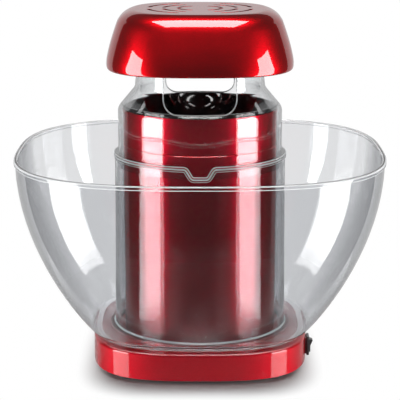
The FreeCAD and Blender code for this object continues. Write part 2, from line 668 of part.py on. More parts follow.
# --- fan duct, motor and fan ------------------------------------------------------------------
def fan_duct():
    """Duct round the fan, with a foot flange and a spider that the motor hangs from."""
    wall = ring(DUCT_RADIUS, DUCT_BORE, DUCT_BOTTOM, DUCT_TOP)
    foot = ring(DUCT_RADIUS + DUCT_FLANGE, DUCT_BORE, DUCT_BOTTOM, DUCT_BOTTOM + DUCT_FLANGE_THICKNESS)
    screws = drum_screw_places()
    tip = DUCT_BOTTOM + SCREW_BITE
    bosses = [disc(DUCT_BOSS_RADIUS, DUCT_BOTTOM, tip + 2 * SCREW_SPARE, x, y) for x, y in screws]
    hub = disc(MOTOR_RADIUS + SPIDER_HUB_MARGIN, SPIDER_BOTTOM, SPIDER_TOP)
    arm = block(MOTOR_RADIUS, DUCT_RADIUS - DUCT_WALL / 2, -SPIDER_ARM / 2, SPIDER_ARM / 2,
                SPIDER_BOTTOM, SPIDER_TOP)
    arms = [turned(arm, (i + 0.5) * 360 / SPIDER_ARMS) for i in range(SPIDER_ARMS)]
    lug_bottom = DUCT_TOP - SCREW_BITE - 2 * SCREW_SPARE
    lugs = [disc(DUCT_LUG_RADIUS, lug_bottom, DUCT_TOP, x, y) for x, y in sleeve_screw_places()]
    body = join([wall, foot, hub] + bosses + arms + lugs)
    body = body.cut(disc(DUCT_BORE, SPIDER_TOP, DUCT_TOP))
    holes = [screw_hole(x, y, DUCT_BOTTOM, tip + SCREW_SPARE) for x, y in screws]
    holes += [screw_hole(x, y, lug_bottom + SCREW_SPARE, DUCT_TOP) for x, y in sleeve_screw_places()]
    holes += [screw_hole(x, 0, SPIDER_BOTTOM, SPIDER_TOP) for x in (-MOTOR_SCREW_PITCH, MOTOR_SCREW_PITCH)]
    holes.append(disc(MOTOR_NOSE_RADIUS + HOLE_GAP, SPIDER_BOTTOM, SPIDER_TOP))
    return body.cut(holes)


def sleeve_screw_places():
    return around(SLEEVE_SCREWS, DUCT_RADIUS + SLEEVE_SCREW_OFFSET, 0)


def drum_screws():
    bottom = BASE_TOP - BASE_WALL - SCREW_HEAD_HEIGHT
    length = BASE_WALL + DRUM_WALL + SCREW_BITE
    return Part.Compound([screw(x, y, bottom, length) for x, y in drum_screw_places()])


def motor_can():
    """Drawn can with a bearing nose, bored for the shaft."""
    can = disc(MOTOR_RADIUS, MOTOR_BOTTOM + MOTOR_COVER, SPIDER_BOTTOM)
    can = can.makeChamfer(MOTOR_EDGE, [can.Edges[0]])
    nose = disc(MOTOR_NOSE_RADIUS, SPIDER_BOTTOM, SPIDER_BOTTOM + MOTOR_NOSE_HEIGHT)
    bore = disc(SHAFT_RADIUS + SHAFT_GAP, MOTOR_BOTTOM, SPIDER_TOP)
    low = SPIDER_BOTTOM - SCREW_BITE - SCREW_SPARE
    threads = [disc(SCREW_RADIUS + HOLE_GAP, low, SPIDER_BOTTOM, x, 0)
               for x in (-MOTOR_SCREW_PITCH, MOTOR_SCREW_PITCH)]
    return can.fuse(nose).cut([bore] + threads)


def motor_cover():
    """Plastic end of the motor with its two tags."""
    cover = disc(MOTOR_RADIUS - MOTOR_COVER_INSET, MOTOR_BOTTOM, MOTOR_BOTTOM + MOTOR_COVER)
    wide = MOTOR_TAG_WIDTH / 2
    thick = MOTOR_TAG_THICKNESS / 2
    tags = [block(x - wide, x + wide, -thick, thick, MOTOR_BOTTOM - BOARD_GAP, MOTOR_BOTTOM)
            for x in (-MOTOR_TAG_X, MOTOR_TAG_X)]
    return cover.fuse(tags)


def motor_screws():
    """Screws down through the spider into the motor."""
    screws = []
    for x in (-MOTOR_SCREW_PITCH, MOTOR_SCREW_PITCH):
        one = screw(x, 0, 0, SPIDER_THICKNESS + SCREW_BITE)
        one.rotate(Vector(x, 0, 0), Vector(1, 0, 0), 180)
        one.translate(Vector(0, 0, SPIDER_TOP + SCREW_HEAD_HEIGHT))
        screws.append(one)
    return Part.Compound(screws)


def motor_shaft():
    top = FAN_BOTTOM + FAN_HEIGHT
    shaft = disc(SHAFT_RADIUS, top - SHAFT_LENGTH, top)
    return shaft.makeChamfer(SHAFT_CHAMFER, [shaft.Edges[0]])


def fan_impeller():
    """Axial fan: hub with twisted blades."""
    top = FAN_BOTTOM + FAN_HEIGHT
    hub = disc(FAN_HUB_RADIUS, FAN_BOTTOM, top)
    hub = hub.makeChamfer(FAN_HUB_EDGE, [hub.Edges[0]])
    blade = fan_blade()
    blades = [turned(blade, i * 360 / FAN_BLADES) for i in range(FAN_BLADES)]
    return hub.fuse(blades).cut(disc(SHAFT_RADIUS, FAN_BOTTOM, top))


def fan_blade():
    """One blade, lofted from a steep root section to a flatter tip section."""
    middle = FAN_BOTTOM + FAN_HEIGHT / 2
    wires = []
    for x, angle in ((FAN_HUB_RADIUS - FAN_BLADE_MARGIN, FAN_ROOT_ANGLE), (FAN_RADIUS, FAN_TIP_ANGLE)):
        reach = (FAN_HEIGHT / 2 - FAN_BLADE_MARGIN) / sin(radians(angle))
        thick = FAN_BLADE_THICKNESS / 2
        section = [Vector(x, -reach, -thick), Vector(x, reach, -thick),
                   Vector(x, reach, thick), Vector(x, -reach, thick)]
        wire = Part.makePolygon(section + section[:1])
        wire.rotate(Vector(0, 0, 0), Vector(1, 0, 0), angle)
        wire.translate(Vector(0, 0, middle))
        wires.append(wire)
    return Part.makeLoft(wires, True, True)


def rectifier_board():
    """Small board on the motor's tags."""
    top = MOTOR_BOTTOM - BOARD_GAP
    return block(-BOARD_HALF, BOARD_HALF, -BOARD_HALF, BOARD_HALF, top - BOARD_THICKNESS, top)


def rectifier_diodes():
    """Four diodes lying under the board."""
    level = MOTOR_BOTTOM - BOARD_GAP - BOARD_THICKNESS - DIODE_RADIUS
    along = Vector(1, 0, 0)
    return Part.Compound([
        Part.makeCylinder(DIODE_RADIUS, DIODE_LENGTH, Vector(x - DIODE_LENGTH / 2, y, level), along)
        for x, y in corners(DIODE_X, DIODE_Y)])


# --- heater -----------------------------------------------------------------------------------
def heater_sleeve():
    """Steel sleeve over the duct: foot flange, ledge for the mica cross, lid ring near the chamber."""
    top = DUCT_TOP + SLEEVE_HEIGHT
    bore = SLEEVE_BORE
    foot = DUCT_RADIUS + SLEEVE_FOOT
    lid = CHAMBER_RADIUS + SLEEVE_TOP_GAP
    ledge = bore - SLEEVE_LEDGE
    profile = [
        (foot, DUCT_TOP), (foot, DUCT_TOP + SLEEVE_WALL), (DUCT_RADIUS, DUCT_TOP + SLEEVE_WALL),
        (DUCT_RADIUS, top), (lid, top), (lid, top - SLEEVE_WALL), (bore, top - SLEEVE_WALL),
        (bore, LEDGE_TOP), (ledge, LEDGE_TOP), (ledge, LEDGE_TOP - SLEEVE_WALL),
        (bore, LEDGE_TOP - SLEEVE_WALL), (bore, DUCT_TOP)]
    sleeve = lathe(profile)
    holes = [screw_hole(x, y, DUCT_TOP, DUCT_TOP + SLEEVE_WALL) for x, y in sleeve_screw_places()]
    return sleeve.cut(holes)


def sleeve_screws():
    """Screws down through the sleeve's flange into the duct's lugs."""
    screws = []
    for x, y in sleeve_screw_places():
        one = screw(x, y, 0, SLEEVE_WALL + SCREW_BITE)
        one.rotate(Vector(x, y, 0), Vector(1, 0, 0), 180)
        one.translate(Vector(0, 0, DUCT_TOP + SLEEVE_WALL + SCREW_HEAD_HEIGHT))
        screws.append(one)
    return Part.Compound(screws)


def coil_turns(grow):
    """The element's rings, lying in the top edge of the mica cross, grown on every side."""
    half = COIL_WIDTH / 2 + grow
    return [ring(radius + half, radius - half, MICA_TOP - half, MICA_TOP + half) for radius in COIL_RADII]


def mica_plate(angle, slot_low, slot_high):
    """Upright mica plate with wire notches and a halving slot."""
    reach = SLEEVE_BORE - SLEEVE_TOP_GAP
    plate = block(-reach, reach, -MICA_THICKNESS / 2, MICA_THICKNESS / 2, LEDGE_TOP, MICA_TOP)
    half = MICA_THICKNESS / 2 + MICA_GAP
    slot = block(-half, half, -MICA_THICKNESS, MICA_THICKNESS, slot_low, slot_high)
    plate = turned(plate.cut(slot), angle)
    return plate.cut(coil_turns(COIL_GAP))


def mica_middle():
    return (LEDGE_TOP + MICA_TOP) / 2


def mica_plate_lower():
    return mica_plate(45, mica_middle(), MICA_TOP)


def mica_plate_upper():
    return mica_plate(135, LEDGE_TOP, mica_middle())


def heater_coil():
    """Element: three rings joined by two links."""
    half = COIL_LINK_WIDTH / 2
    links = [block(inner, outer, -half, half, MICA_TOP - half, MICA_TOP + half)
             for inner, outer in zip(COIL_RADII, COIL_RADII[1:])]
    first, *rest = coil_turns(0)
    return first.fuse(rest + links)


def thermostat():
    """Disc thermostat flat on the sleeve's side, with a mounting ear each side and two tags."""
    level = DUCT_TOP + THERMOSTAT_LIFT
    seat = DUCT_RADIUS + THERMOSTAT_GAP
    along = Vector(1, 0, 0)
    tall = THERMOSTAT_EAR_HALF_HEIGHT
    ear = block(seat, seat + THERMOSTAT_EAR_THICKNESS, -THERMOSTAT_EAR, THERMOSTAT_EAR,
                level - tall, level + tall)
    case = Part.makeCylinder(THERMOSTAT_RADIUS, THERMOSTAT_HEIGHT, Vector(seat, 0, level), along)
    tip = seat + THERMOSTAT_HEIGHT
    thick = BLADE_THICKNESS / 2
    tags = [block(tip, tip + BLADE_LENGTH / 2, -BLADE_WIDTH / 2, BLADE_WIDTH / 2, z - thick, z + thick)
            for z in (level - BLADE_PITCH / 2, level + BLADE_PITCH / 2)]
    return join([ear, case] + tags)


def thermal_fuse():
    """Barrel fuse clipped upright to the sleeve, with a lead at each end."""
    level = DUCT_TOP + THERMOSTAT_LIFT
    x = -(DUCT_RADIUS + FUSE_RADIUS + FUSE_STANDOFF)
    low = level - FUSE_LENGTH / 2
    high = level + FUSE_LENGTH / 2
    barrel = disc(FUSE_RADIUS, low, high, x, 0)
    lead = disc(FUSE_LEAD_RADIUS, low - FUSE_LEAD, high + FUSE_LEAD, x, 0)
    half = FUSE_CLIP_HALF
    clip = block(x, -DUCT_RADIUS - FUSE_CLIP_GAP, -half, half, level - half, level + half)
    return barrel.fuse([lead, clip])


# --- bowl and chimney -------------------------------------------------------------------------
def bowl_sections(inset, low, high):
    """Half widths of the bowl's wall at even steps between two levels."""
    sections = []
    for i in range(BOWL_SECTIONS):
        z = low + (high - low) * (i / (BOWL_SECTIONS - 1)) ** BOWL_STEP_POWER
        share = (z - BOWL_BOTTOM) / BOWL_DEPTH
        opening = sin(pi / 2 * share) ** BOWL_FLARE if share > 0 else 0.0
        half = BOWL_FLOOR_HALF + (BOWL_RIM_HALF - BOWL_FLOOR_HALF) * opening
        sections.append((half - inset, z))
    return sections


def bowl():
    """Clear ring-shaped bowl: flared wall, thick lip, and a tube that drops over the drum."""
    outer = squircle_loft(bowl_sections(0, BOWL_BOTTOM, BOWL_TOP), BOWL_POWER)
    foot_edge = [e for e in outer.Edges if e.BoundBox.ZMax < BOWL_BOTTOM + 0.01]
    outer = outer.makeFillet(BOWL_FOOT_RADIUS, foot_edge)
    lip = squircle_block(BOWL_RIM_HALF + BOWL_LIP, BOWL_POWER, BOWL_TOP - BOWL_LIP_HEIGHT, BOWL_TOP)
    inner = squircle_loft(bowl_sections(BOWL_WALL, BOWL_BOTTOM + BOWL_WALL, BOWL_TOP), BOWL_POWER)
    shell = outer.fuse(lip).cut(inner)
    foot = TUBE_RADIUS + TUBE_DRAFT
    tube = Part.makeCone(foot, TUBE_RADIUS, TUBE_HEIGHT, Vector(0, 0, BOWL_BOTTOM))
    collar = disc(COLLAR_RADIUS, TUBE_TOP - COLLAR_THICKNESS, TUBE_TOP)
    bore = Part.makeCone(TUBE_BORE + TUBE_DRAFT, TUBE_BORE, TUBE_HEIGHT, Vector(0, 0, BOWL_BOTTOM))
    outside_notch = tab_prism(COLLAR_THICKNESS + TAB_GAP)
    band = collar_band(TUBE_BORE, COLLAR_THICKNESS + TAB_GAP, 2 * COLLAR_THICKNESS + TAB_GAP, TUBE_TOP)
    whole = shell.fuse([tube, collar]).cut([bore, outside_notch])
    return whole.fuse(band).removeSplitter()


def tab_outline(grow):
    """Rounded outline of the front notch, grown outwards, in the XZ plane."""
    top = COLLAR_TOP
    low = top - TAB_DEPTH
    points = [Vector(-TAB_TOP_HALF, 0, top), Vector(-TAB_BOTTOM_HALF, 0, low),
              Vector(TAB_BOTTOM_HALF, 0, low), Vector(TAB_TOP_HALF, 0, top)]
    wire = Part.makePolygon(points + points[:1])
    return wire.makeOffset2D(grow) if grow else wire


def tab_prism(grow):
    """The notch run forward through the front wall."""
    face = Part.Face(tab_outline(grow))
    prism = face.extrude(Vector(0, -2 * DRUM_RADIUS, 0))
    return prism


def collar_band(inner, near, far, ceiling):
    """Band that follows the notch below the collar, between two offsets of its outline."""
    low = COLLAR_TOP - TAB_DEPTH - far
    sleeve = ring(COLLAR_RADIUS, inner, low, ceiling)
    return sleeve.common(tab_prism(far)).cut(tab_prism(near))


def shoulder_arc(centre, radius, first, last):
    """Arc in the XZ plane about (radius from the axis, level), between two angles in radians."""
    points = [Vector(centre[0] + radius * cos(a), 0, centre[1] + radius * sin(a))
              for a in (first, (first + last) / 2, last)]
    return Part.Arc(*points).toShape()


def chimney_skin(inset):
    """Solid turned from the chimney's outline, shrunk by an inset; two equal arcs make the shoulder."""
    start = RIM_TOP - SHOULDER_DROP
    drop = CHIMNEY_RADIUS - NECK_RADIUS
    bend = (drop ** 2 + SHOULDER_HEIGHT ** 2) / (4 * drop)
    swing = 2 * atan2(drop, SHOULDER_HEIGHT)
    inward = shoulder_arc((CHIMNEY_RADIUS - bend, start), bend - inset, 0, swing)
    upward = shoulder_arc((NECK_RADIUS + bend, start + SHOULDER_HEIGHT), bend + inset, pi + swing, pi)
    low = TUBE_TOP - SPIGOT_DEPTH
    corners_up = [Vector(NECK_RADIUS - inset, 0, start + SHOULDER_HEIGHT),
                  Vector(NECK_TOP_RADIUS - inset, 0, CHIMNEY_TOP - LINER_SKIRT - 2),
                  Vector(NECK_TOP_RADIUS - inset, 0, CHIMNEY_TOP), Vector(0, 0, CHIMNEY_TOP),
                  Vector(0, 0, low), Vector(CHIMNEY_RADIUS - inset, 0, low),
                  Vector(CHIMNEY_RADIUS - inset, 0, start)]
    lines = [Part.makeLine(a, b) for a, b in zip(corners_up, corners_up[1:])]
    outline = Part.Wire([inward, upward] + lines)
    return Part.Face(outline).revolve(Vector(0, 0, 0), UP, 360)


def window_prism():
    """Rounded window run through the front and the back of the chimney."""
    low = RIM_TOP + WINDOW_LIFT
    high = low + WINDOW_HEIGHT
    prism = block(-WINDOW_HALF, WINDOW_HALF, -2 * DRUM_RADIUS, 2 * DRUM_RADIUS, low, high)
    edges = [e for e in prism.Edges if e.BoundBox.YLength > DRUM_RADIUS]
    return prism.makeFillet(WINDOW_CORNER, edges)


def chimney():
    """Clear chimney with a shoulder, two windows, and a flange whose front tab drops into the notch."""
    shell = chimney_skin(0).cut(chimney_skin(CHIMNEY_WALL))
    flange = ring(COLLAR_RADIUS, CHIMNEY_BORE, TUBE_TOP, COLLAR_TOP)
    band = collar_band(CHIMNEY_BORE, 0, COLLAR_THICKNESS, COLLAR_TOP)
    notch = tab_prism(0).cut(disc(CHIMNEY_RADIUS, TUBE_TOP - TAB_DEPTH, COLLAR_TOP))
    whole = shell.fuse([flange, band]).cut([window_prism(), notch])
    return whole.removeSplitter()


# --- cap --------------------------------------------------------------------------------------
def cap_body(inset, low, top, shoulder):
    """Leaning rounded-square block with a rounded top edge."""
    lean = (CAP_HALF - CAP_TOP_HALF) / CAP_HEIGHT
    wide = CAP_HALF - inset - lean * (low - CAP_BOTTOM)
    narrow = CAP_HALF - inset - lean * (top - CAP_BOTTOM)
    solid = squircle_loft([(wide, low), (narrow, top)], CAP_POWER)
    edge = [e for e in solid.Edges if e.BoundBox.ZMin > top - 0.01]
    return solid.makeFillet(shoulder, edge)


def cap_hollow():
    """Space inside the cap's shell."""
    return cap_body(CAP_WALL, CAP_BOTTOM, CAP_TOP - CAP_WALL, CAP_SHOULDER - CAP_WALL)


def cap_screw_places():
    return around(CAP_SCREWS, CAP_SCREW_RADIUS, 180 / CAP_SCREWS)


def cap_shell():
    """Red cap: leaning sides, big shoulder, rings of vent slots in four quarters."""
    outer = cap_body(0, CAP_BOTTOM, CAP_TOP, CAP_SHOULDER)
    foot_edge = [e for e in outer.Edges if e.BoundBox.ZMax < CAP_BOTTOM + 0.01]
    outer = outer.makeChamfer(min(CAP_FOOT_EDGE, 0.9 * CAP_WALL), foot_edge)
    inner = cap_hollow()
    bosses = [disc(CAP_BOSS_RADIUS, cap_boss_bottom(), CAP_TOP - CAP_WALL / 2, x, y)
              for x, y in cap_screw_places()]
    shell = join([outer.cut(inner)] + [boss.common(outer) for boss in bosses])
    tip = cap_boss_bottom() + CAP_SCREW_BITE + SCREW_SPARE
    cuts = [screw_hole(x, y, cap_boss_bottom(), tip) for x, y in cap_screw_places()]
    for radius in VENT_RADII:
        for quarter in range(2):
            for start, end in ((VENT_FROM, VENT_TO), (180 - VENT_TO, 180 - VENT_FROM)):
                turn = 180 * quarter
                cuts.append(arc_slot(radius, VENT_WIDTH, start + turn, end + turn,
                                     LINER_TOP - CUT, CAP_TOP + CUT))
    return shell.cut(cuts)


def cap_boss_bottom():
    return LINER_TOP - LINER_RISE / 2


def cap_liner():
    """Collar inside the cap, trimmed to its shoulder: slides over the neck and rests on its top edge."""
    low = CHIMNEY_TOP - LINER_SKIRT
    ledge = CHIMNEY_TOP + LINER_LEDGE
    sleeve = ring(LINER_RADIUS, LINER_BORE, low, LINER_TOP)
    shelf = ring(LINER_BORE, LINER_BORE - LINER_SHELF, CHIMNEY_TOP, ledge)
    level = cap_boss_bottom()
    lugs = []
    for x, y in cap_screw_places():
        pad = disc(BOSS_RADIUS, level - LINER_LUG, level, x, y)
        arm = block(LINER_BORE + 0.4, CAP_SCREW_RADIUS, -BOSS_RADIUS, BOSS_RADIUS, level - LINER_LUG, level)
        lugs += [pad, turned(arm, degrees(atan2(y, x)))]
    holes = [screw_hole(x, y, level - LINER_LUG, level) for x, y in cap_screw_places()]
    return join([sleeve, shelf] + lugs).common(cap_hollow()).cut(holes)


def cap_screws():
    bottom = cap_boss_bottom() - LINER_LUG - SCREW_HEAD_HEIGHT
    return Part.Compound([screw(x, y, bottom, LINER_LUG + CAP_SCREW_BITE) for x, y in cap_screw_places()])


# --- write every piece ------------------------------------------------------------------------
PIECES = (
    base_housing, base_plate, rubber_feet, base_screws, cord_bush, cord_clamp, clamp_screws,
    switch_frame, switch_rocker, switch_terminals, drum_shell, drum_screws, funnel_rim,
    popping_chamber, chamber_screws, fan_duct, motor_can, motor_cover, motor_screws, motor_shaft,
    fan_impeller, rectifier_board, rectifier_diodes, heater_sleeve, sleeve_screws,
    mica_plate_lower, mica_plate_upper, heater_coil, thermostat, thermal_fuse,
    bowl, chimney, cap_shell, cap_liner, cap_screws)

os.makedirs("parts", exist_ok=True)
for piece in PIECES:
    shape = piece()
    shape.exportStep("parts/" + piece.__name__ + ".step")
    box = shape.BoundBox
    print(f"{piece.__name__:18s} solids {len(shape.Solids)} valid {shape.isValid()} "
          f"volume {shape.Volume / 1000:8.2f} cm3  z {box.ZMin:6.1f} to {box.ZMax:6.1f}")
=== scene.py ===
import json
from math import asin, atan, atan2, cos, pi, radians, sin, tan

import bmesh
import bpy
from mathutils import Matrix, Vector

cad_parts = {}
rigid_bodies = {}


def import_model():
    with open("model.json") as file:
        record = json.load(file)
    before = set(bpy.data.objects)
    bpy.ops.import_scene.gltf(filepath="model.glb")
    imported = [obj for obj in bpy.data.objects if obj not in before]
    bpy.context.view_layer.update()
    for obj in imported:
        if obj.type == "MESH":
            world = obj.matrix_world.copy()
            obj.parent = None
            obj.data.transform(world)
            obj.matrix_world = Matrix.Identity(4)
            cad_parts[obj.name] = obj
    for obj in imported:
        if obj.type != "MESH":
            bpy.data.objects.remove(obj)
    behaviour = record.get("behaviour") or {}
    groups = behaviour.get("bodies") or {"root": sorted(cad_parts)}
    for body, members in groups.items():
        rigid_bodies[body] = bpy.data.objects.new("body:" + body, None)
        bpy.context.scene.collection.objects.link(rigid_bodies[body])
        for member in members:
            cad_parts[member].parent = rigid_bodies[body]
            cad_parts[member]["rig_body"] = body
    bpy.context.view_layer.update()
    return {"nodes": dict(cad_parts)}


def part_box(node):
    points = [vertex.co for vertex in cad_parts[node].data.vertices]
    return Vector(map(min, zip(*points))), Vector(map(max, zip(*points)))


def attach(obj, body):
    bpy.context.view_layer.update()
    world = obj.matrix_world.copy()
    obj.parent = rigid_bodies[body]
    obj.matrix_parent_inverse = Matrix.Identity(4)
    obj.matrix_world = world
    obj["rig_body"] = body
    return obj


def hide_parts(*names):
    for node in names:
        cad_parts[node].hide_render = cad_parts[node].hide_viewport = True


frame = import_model()

# %% [markdown]
# # A hot-air popcorn maker
# The machine is a red base with a red drum on it, a clear ring-shaped bowl that drops over the drum,
# a clear chimney on the bowl's tube and a red vented cap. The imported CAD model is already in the
# file: its nodes give every place and size, in metres, with +Z up and the front facing -Y. We model
# the visible pieces over it one by one, and each piece then rides on its CAD body.

MM = 0.001
nodes = frame["nodes"]


def box(name):
    """The low and the high corner of a CAD node, in millimetres."""
    low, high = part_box(name)
    return low / MM, high / MM


def half_width(name):
    """How far a CAD node reaches along x, in millimetres to the nearest tenth."""
    return round(box(name)[1].x, 1)


for name in ("bowl", "chimney", "cap_shell", "base_housing", "drum_shell"):
    print(name, *([round(v, 1) for v in corner] for corner in box(name)))

# %% [markdown]
# ## Small tools for the bench
# Operators act on whatever is selected, so every step begins by selecting one thing and nothing
# else. Inside edit mode we pick edges or faces by a test on their place, as one would by eye.

# %% Selecting one object, and picking parts of a mesh
def only(piece):
    """Leave edit mode, then make one object the only one selected and the active one."""
    if bpy.context.mode != "OBJECT":
        bpy.ops.object.mode_set(mode="OBJECT")
    bpy.ops.object.select_all(action="DESELECT")
    piece.select_set(True)
    bpy.context.view_layer.objects.active = piece


def pick(kind, test):
    """In edit mode, select the vertices, edges or faces that pass a test and nothing else."""
    bpy.ops.mesh.select_mode(type=kind)
    bpy.ops.mesh.select_all(action="DESELECT")
    mesh = bmesh.from_edit_mesh(bpy.context.object.data)
    parts = {"VERT": mesh.verts, "EDGE": mesh.edges, "FACE": mesh.faces}[kind]
    found = [part for part in parts if test(part)]
    for part in found:
        part.select_set(True)
    bmesh.update_edit_mesh(bpy.context.object.data)
    return len(found)


def add(primitive, **settings):
    """Add a primitive with nothing else selected, and go into edit mode on it."""
    if bpy.context.mode != "OBJECT":
        bpy.ops.object.mode_set(mode="OBJECT")
    bpy.ops.object.select_all(action="DESELECT")
    primitive(**settings)
    bpy.ops.object.transform_apply(location=True, rotation=True, scale=True)
    bpy.ops.object.mode_set(mode="EDIT")
    return bpy.context.object


# %% [markdown]
# ## Finishing a mesh
# A modifier is set up, applied at once and forgotten. No moulded edge is truly sharp, so a narrow
# Bevel softens most of them. The last modifier on each piece is Weighted Normal: it lets big flat
# faces keep their own direction, so that the bevel catches the light and the face beside it stays
# clean.

# %% Applying modifiers, softening and smoothing
def apply(piece, kind, **settings):
    """Add one modifier, set it and apply it."""
    only(piece)
    modifier = piece.modifiers.new(kind.title(), kind)
    for key, value in settings.items():
        setattr(modifier, key, value)
    bpy.ops.object.modifier_apply(modifier=modifier.name)


def soften(piece, width, segments=3, angle=40):
    """Round every edge sharper than an angle in degrees, by a width in millimetres."""
    apply(piece, "BEVEL", width=width * MM, segments=segments, limit_method="ANGLE",
          angle_limit=radians(angle))


def smooth(piece, angle=32):
    """Shade smooth across edges flatter than an angle, with large faces leading."""
    only(piece)
    bpy.ops.object.shade_smooth_by_angle(angle=radians(angle))
    apply(piece, "WEIGHTED_NORMAL", keep_sharp=True, weight=60)


def tidy(piece):
    """Merge doubles and turn all faces outwards."""
    only(piece)
    bpy.ops.object.mode_set(mode="EDIT")
    bpy.ops.mesh.select_all(action="SELECT")
    bpy.ops.mesh.remove_doubles(threshold=0.002 * MM)
    bpy.ops.mesh.normals_make_consistent(inside=False)
    bpy.ops.object.mode_set(mode="OBJECT")


# %% [markdown]
# ## Drawing a profile and turning it
# A round part could start as a cylinder that is inset and extruded over and over. Turning it from a
# half section, as on a lathe, gives every step and groove at once. The section is drawn the way one
# draws by hand: a single point is placed, then extruded from corner to corner, and the last edge
# closes the loop. Spin then carries the loop round the Z axis.

# %% Drawing an outline and spinning it
def draw(corners):
    """A closed outline through corners in millimetres, drawn by extruding one point along it."""
    # Blender has no primitive of one point, so a small triangle is merged into one.
    piece = add(bpy.ops.mesh.primitive_circle_add, vertices=3, radius=MM)
    bpy.ops.mesh.select_mode(type="VERT")
    bpy.ops.mesh.select_all(action="SELECT")
    bpy.ops.mesh.merge(type="CENTER")
    here = Vector((0, 0, 0))
    for index, corner in enumerate(corners):
        step = {"value": (Vector(corner) - here) * MM}
        if index == 0:
            bpy.ops.transform.translate(**step)
        else:
            bpy.ops.mesh.extrude_vertices_move(TRANSFORM_OT_translate=step)
        here = Vector(corner)
    pick("VERT", lambda v: len(v.link_edges) == 1)
    bpy.ops.mesh.edge_face_add()
    return piece


def turn(name, profile, steps=144, bevel=0.0):
    """A closed shell turned about Z from a profile of (radius, level) corners in millimetres."""
    piece = draw([(r, 0, z) for r, z in profile])
    piece.name = name
    bpy.ops.mesh.select_all(action="SELECT")
    bpy.ops.mesh.spin(steps=steps, angle=2 * pi, center=(0, 0, 0), axis=(0, 0, 1))
    tidy(piece)
    if bevel:
        soften(piece, bevel)
    smooth(piece)
    return piece


# %% [markdown]
# ## Growing a shell ring by ring
# The base, the bowl and the cap are rounded squares, so they can't be turned. They grow instead
# from one ring of points: the ring's edge is extruded and the new ring is laid on the next section.
# A superellipse, |x|^n + |y|^n = r^n, is a circle at n = 2 and a rounded square near n = 3, so one
# tool does for round and square sections alike. Rings that make an edge are named with a radius,
# and one Bevel rounds them all, each by its own weight.

# %% Rings
def around(steps):
    """The angles of even steps round a full turn."""
    return [2 * pi * i / steps for i in range(steps)]


EVEN_ANGLES = around(160)


def ring(half, level, power=2.0, angles=EVEN_ANGLES):
    """One section in millimetres: a superellipse of a half width and power at a level."""
    points = []
    for a in angles:
        reach = half / (abs(cos(a)) ** power + abs(sin(a)) ** power) ** (1 / power)
        points.append(Vector((reach * sin(a), -reach * cos(a), level)))
    return points


print("points in an even ring", len(EVEN_ANGLES))

# %% Lofts
def loft(name, rings, finish, rounded=None, closed=True):
    """Extrude a ring of points from section to section; rounded maps a ring's index to a radius.
    A second material in finish goes on the faces that rounding makes."""
    piece = add(bpy.ops.mesh.primitive_circle_add, vertices=len(rings[0]), radius=MM)
    piece.name = name
    for material in finish:
        piece.data.materials.append(material)
    bpy.ops.mesh.select_mode(type="EDGE")
    # Each vertex carries its place in the ring, and Extrude copies it to the new ring.
    mesh = bmesh.from_edit_mesh(piece.data)
    rank = mesh.verts.layers.int.new("rank")
    for i, vert in enumerate(list(mesh.verts)):
        vert[rank] = i
        vert.co = rings[0][i] * MM
    sections = rings + rings[:1] if closed else rings
    for section in sections[1:]:
        bpy.ops.mesh.extrude_region_move()
        mesh = bmesh.from_edit_mesh(piece.data)
        rank = mesh.verts.layers.int["rank"]
        for vert in mesh.verts:
            if vert.select:
                vert.co = section[vert[rank]] * MM
    bmesh.update_edit_mesh(piece.data)
    if closed:
        tidy(piece)
    only(piece)
    piece.data.attributes.remove(piece.data.attributes["rank"])
    if rounded:
        round_rings(piece, rings, rounded)
    return piece


def round_rings(piece, rings, rounded):
    """Round the edges that lie on chosen rings, each by its own radius in millimetres."""
    widest = max(rounded.values())
    # A ring is known by where its vertices are, to a hundredth of a millimetre. A vertex on the
    # border between two hundredths is missed, which leaves four short collar edges of the bowl sharp.
    places = {}
    for index, radius in rounded.items():
        for point in rings[index]:
            places[tuple(round(v, 2) for v in point)] = (index, radius)
    mesh = bmesh.new()
    mesh.from_mesh(piece.data)
    weight = mesh.edges.layers.float.new("bevel_weight_edge")
    for edge in mesh.edges:
        ends = [places.get(tuple(round(v / MM, 2) for v in vert.co)) for vert in edge.verts]
        if None not in ends and ends[0][0] == ends[1][0]:
            edge[weight] = ends[0][1] / widest
    mesh.to_mesh(piece.data)
    mesh.free()
    apply(piece, "BEVEL", width=widest * MM, segments=4, limit_method="WEIGHT",
          material=len(piece.data.materials) - 1)


# %% [markdown]
# ## Cutting holes
# Windows, slots and switch openings could be left out of the shells as they grow, but the rings
# would have to bend round them. A Boolean leaves the shell's form alone: a cutter of the hole's
# shape is modelled, the exact solver takes it away, and the cutter is deleted.

# %% Cutting one shape out of another
def cut(piece, *cutters):
    """Take cutters out of a piece and delete them."""
    for cutter in cutters:
        apply(piece, "BOOLEAN", operation="DIFFERENCE", solver="EXACT", object=cutter)
        bpy.data.objects.remove(cutter)


def prism(outline, path):
    """A closed block: an outline drawn in millimetres, filled and extruded along a path."""
    piece = draw(outline)
    bpy.ops.mesh.select_all(action="SELECT")
    bpy.ops.mesh.edge_face_add()
    bpy.ops.mesh.extrude_region_move(TRANSFORM_OT_translate={"value": Vector(path) * MM})
    tidy(piece)
    return piece


# %% [markdown]
# ## Colours and nodes
# Colours are picked as sRGB hex values, the way a paint card lists them, and turned to the linear
# numbers that the renderer works in. One helper adds every node, with its settings and its links.

# %% Colour and node helpers
def linear(hex_colour):
    """Linear RGBA from an sRGB hex value."""
    channels = [int(hex_colour[i:i + 2], 16) / 255 for i in (1, 3, 5)]
    return (*[c / 12.92 if c <= 0.04045 else ((c + 0.055) / 1.055) ** 2.4 for c in channels], 1.0)


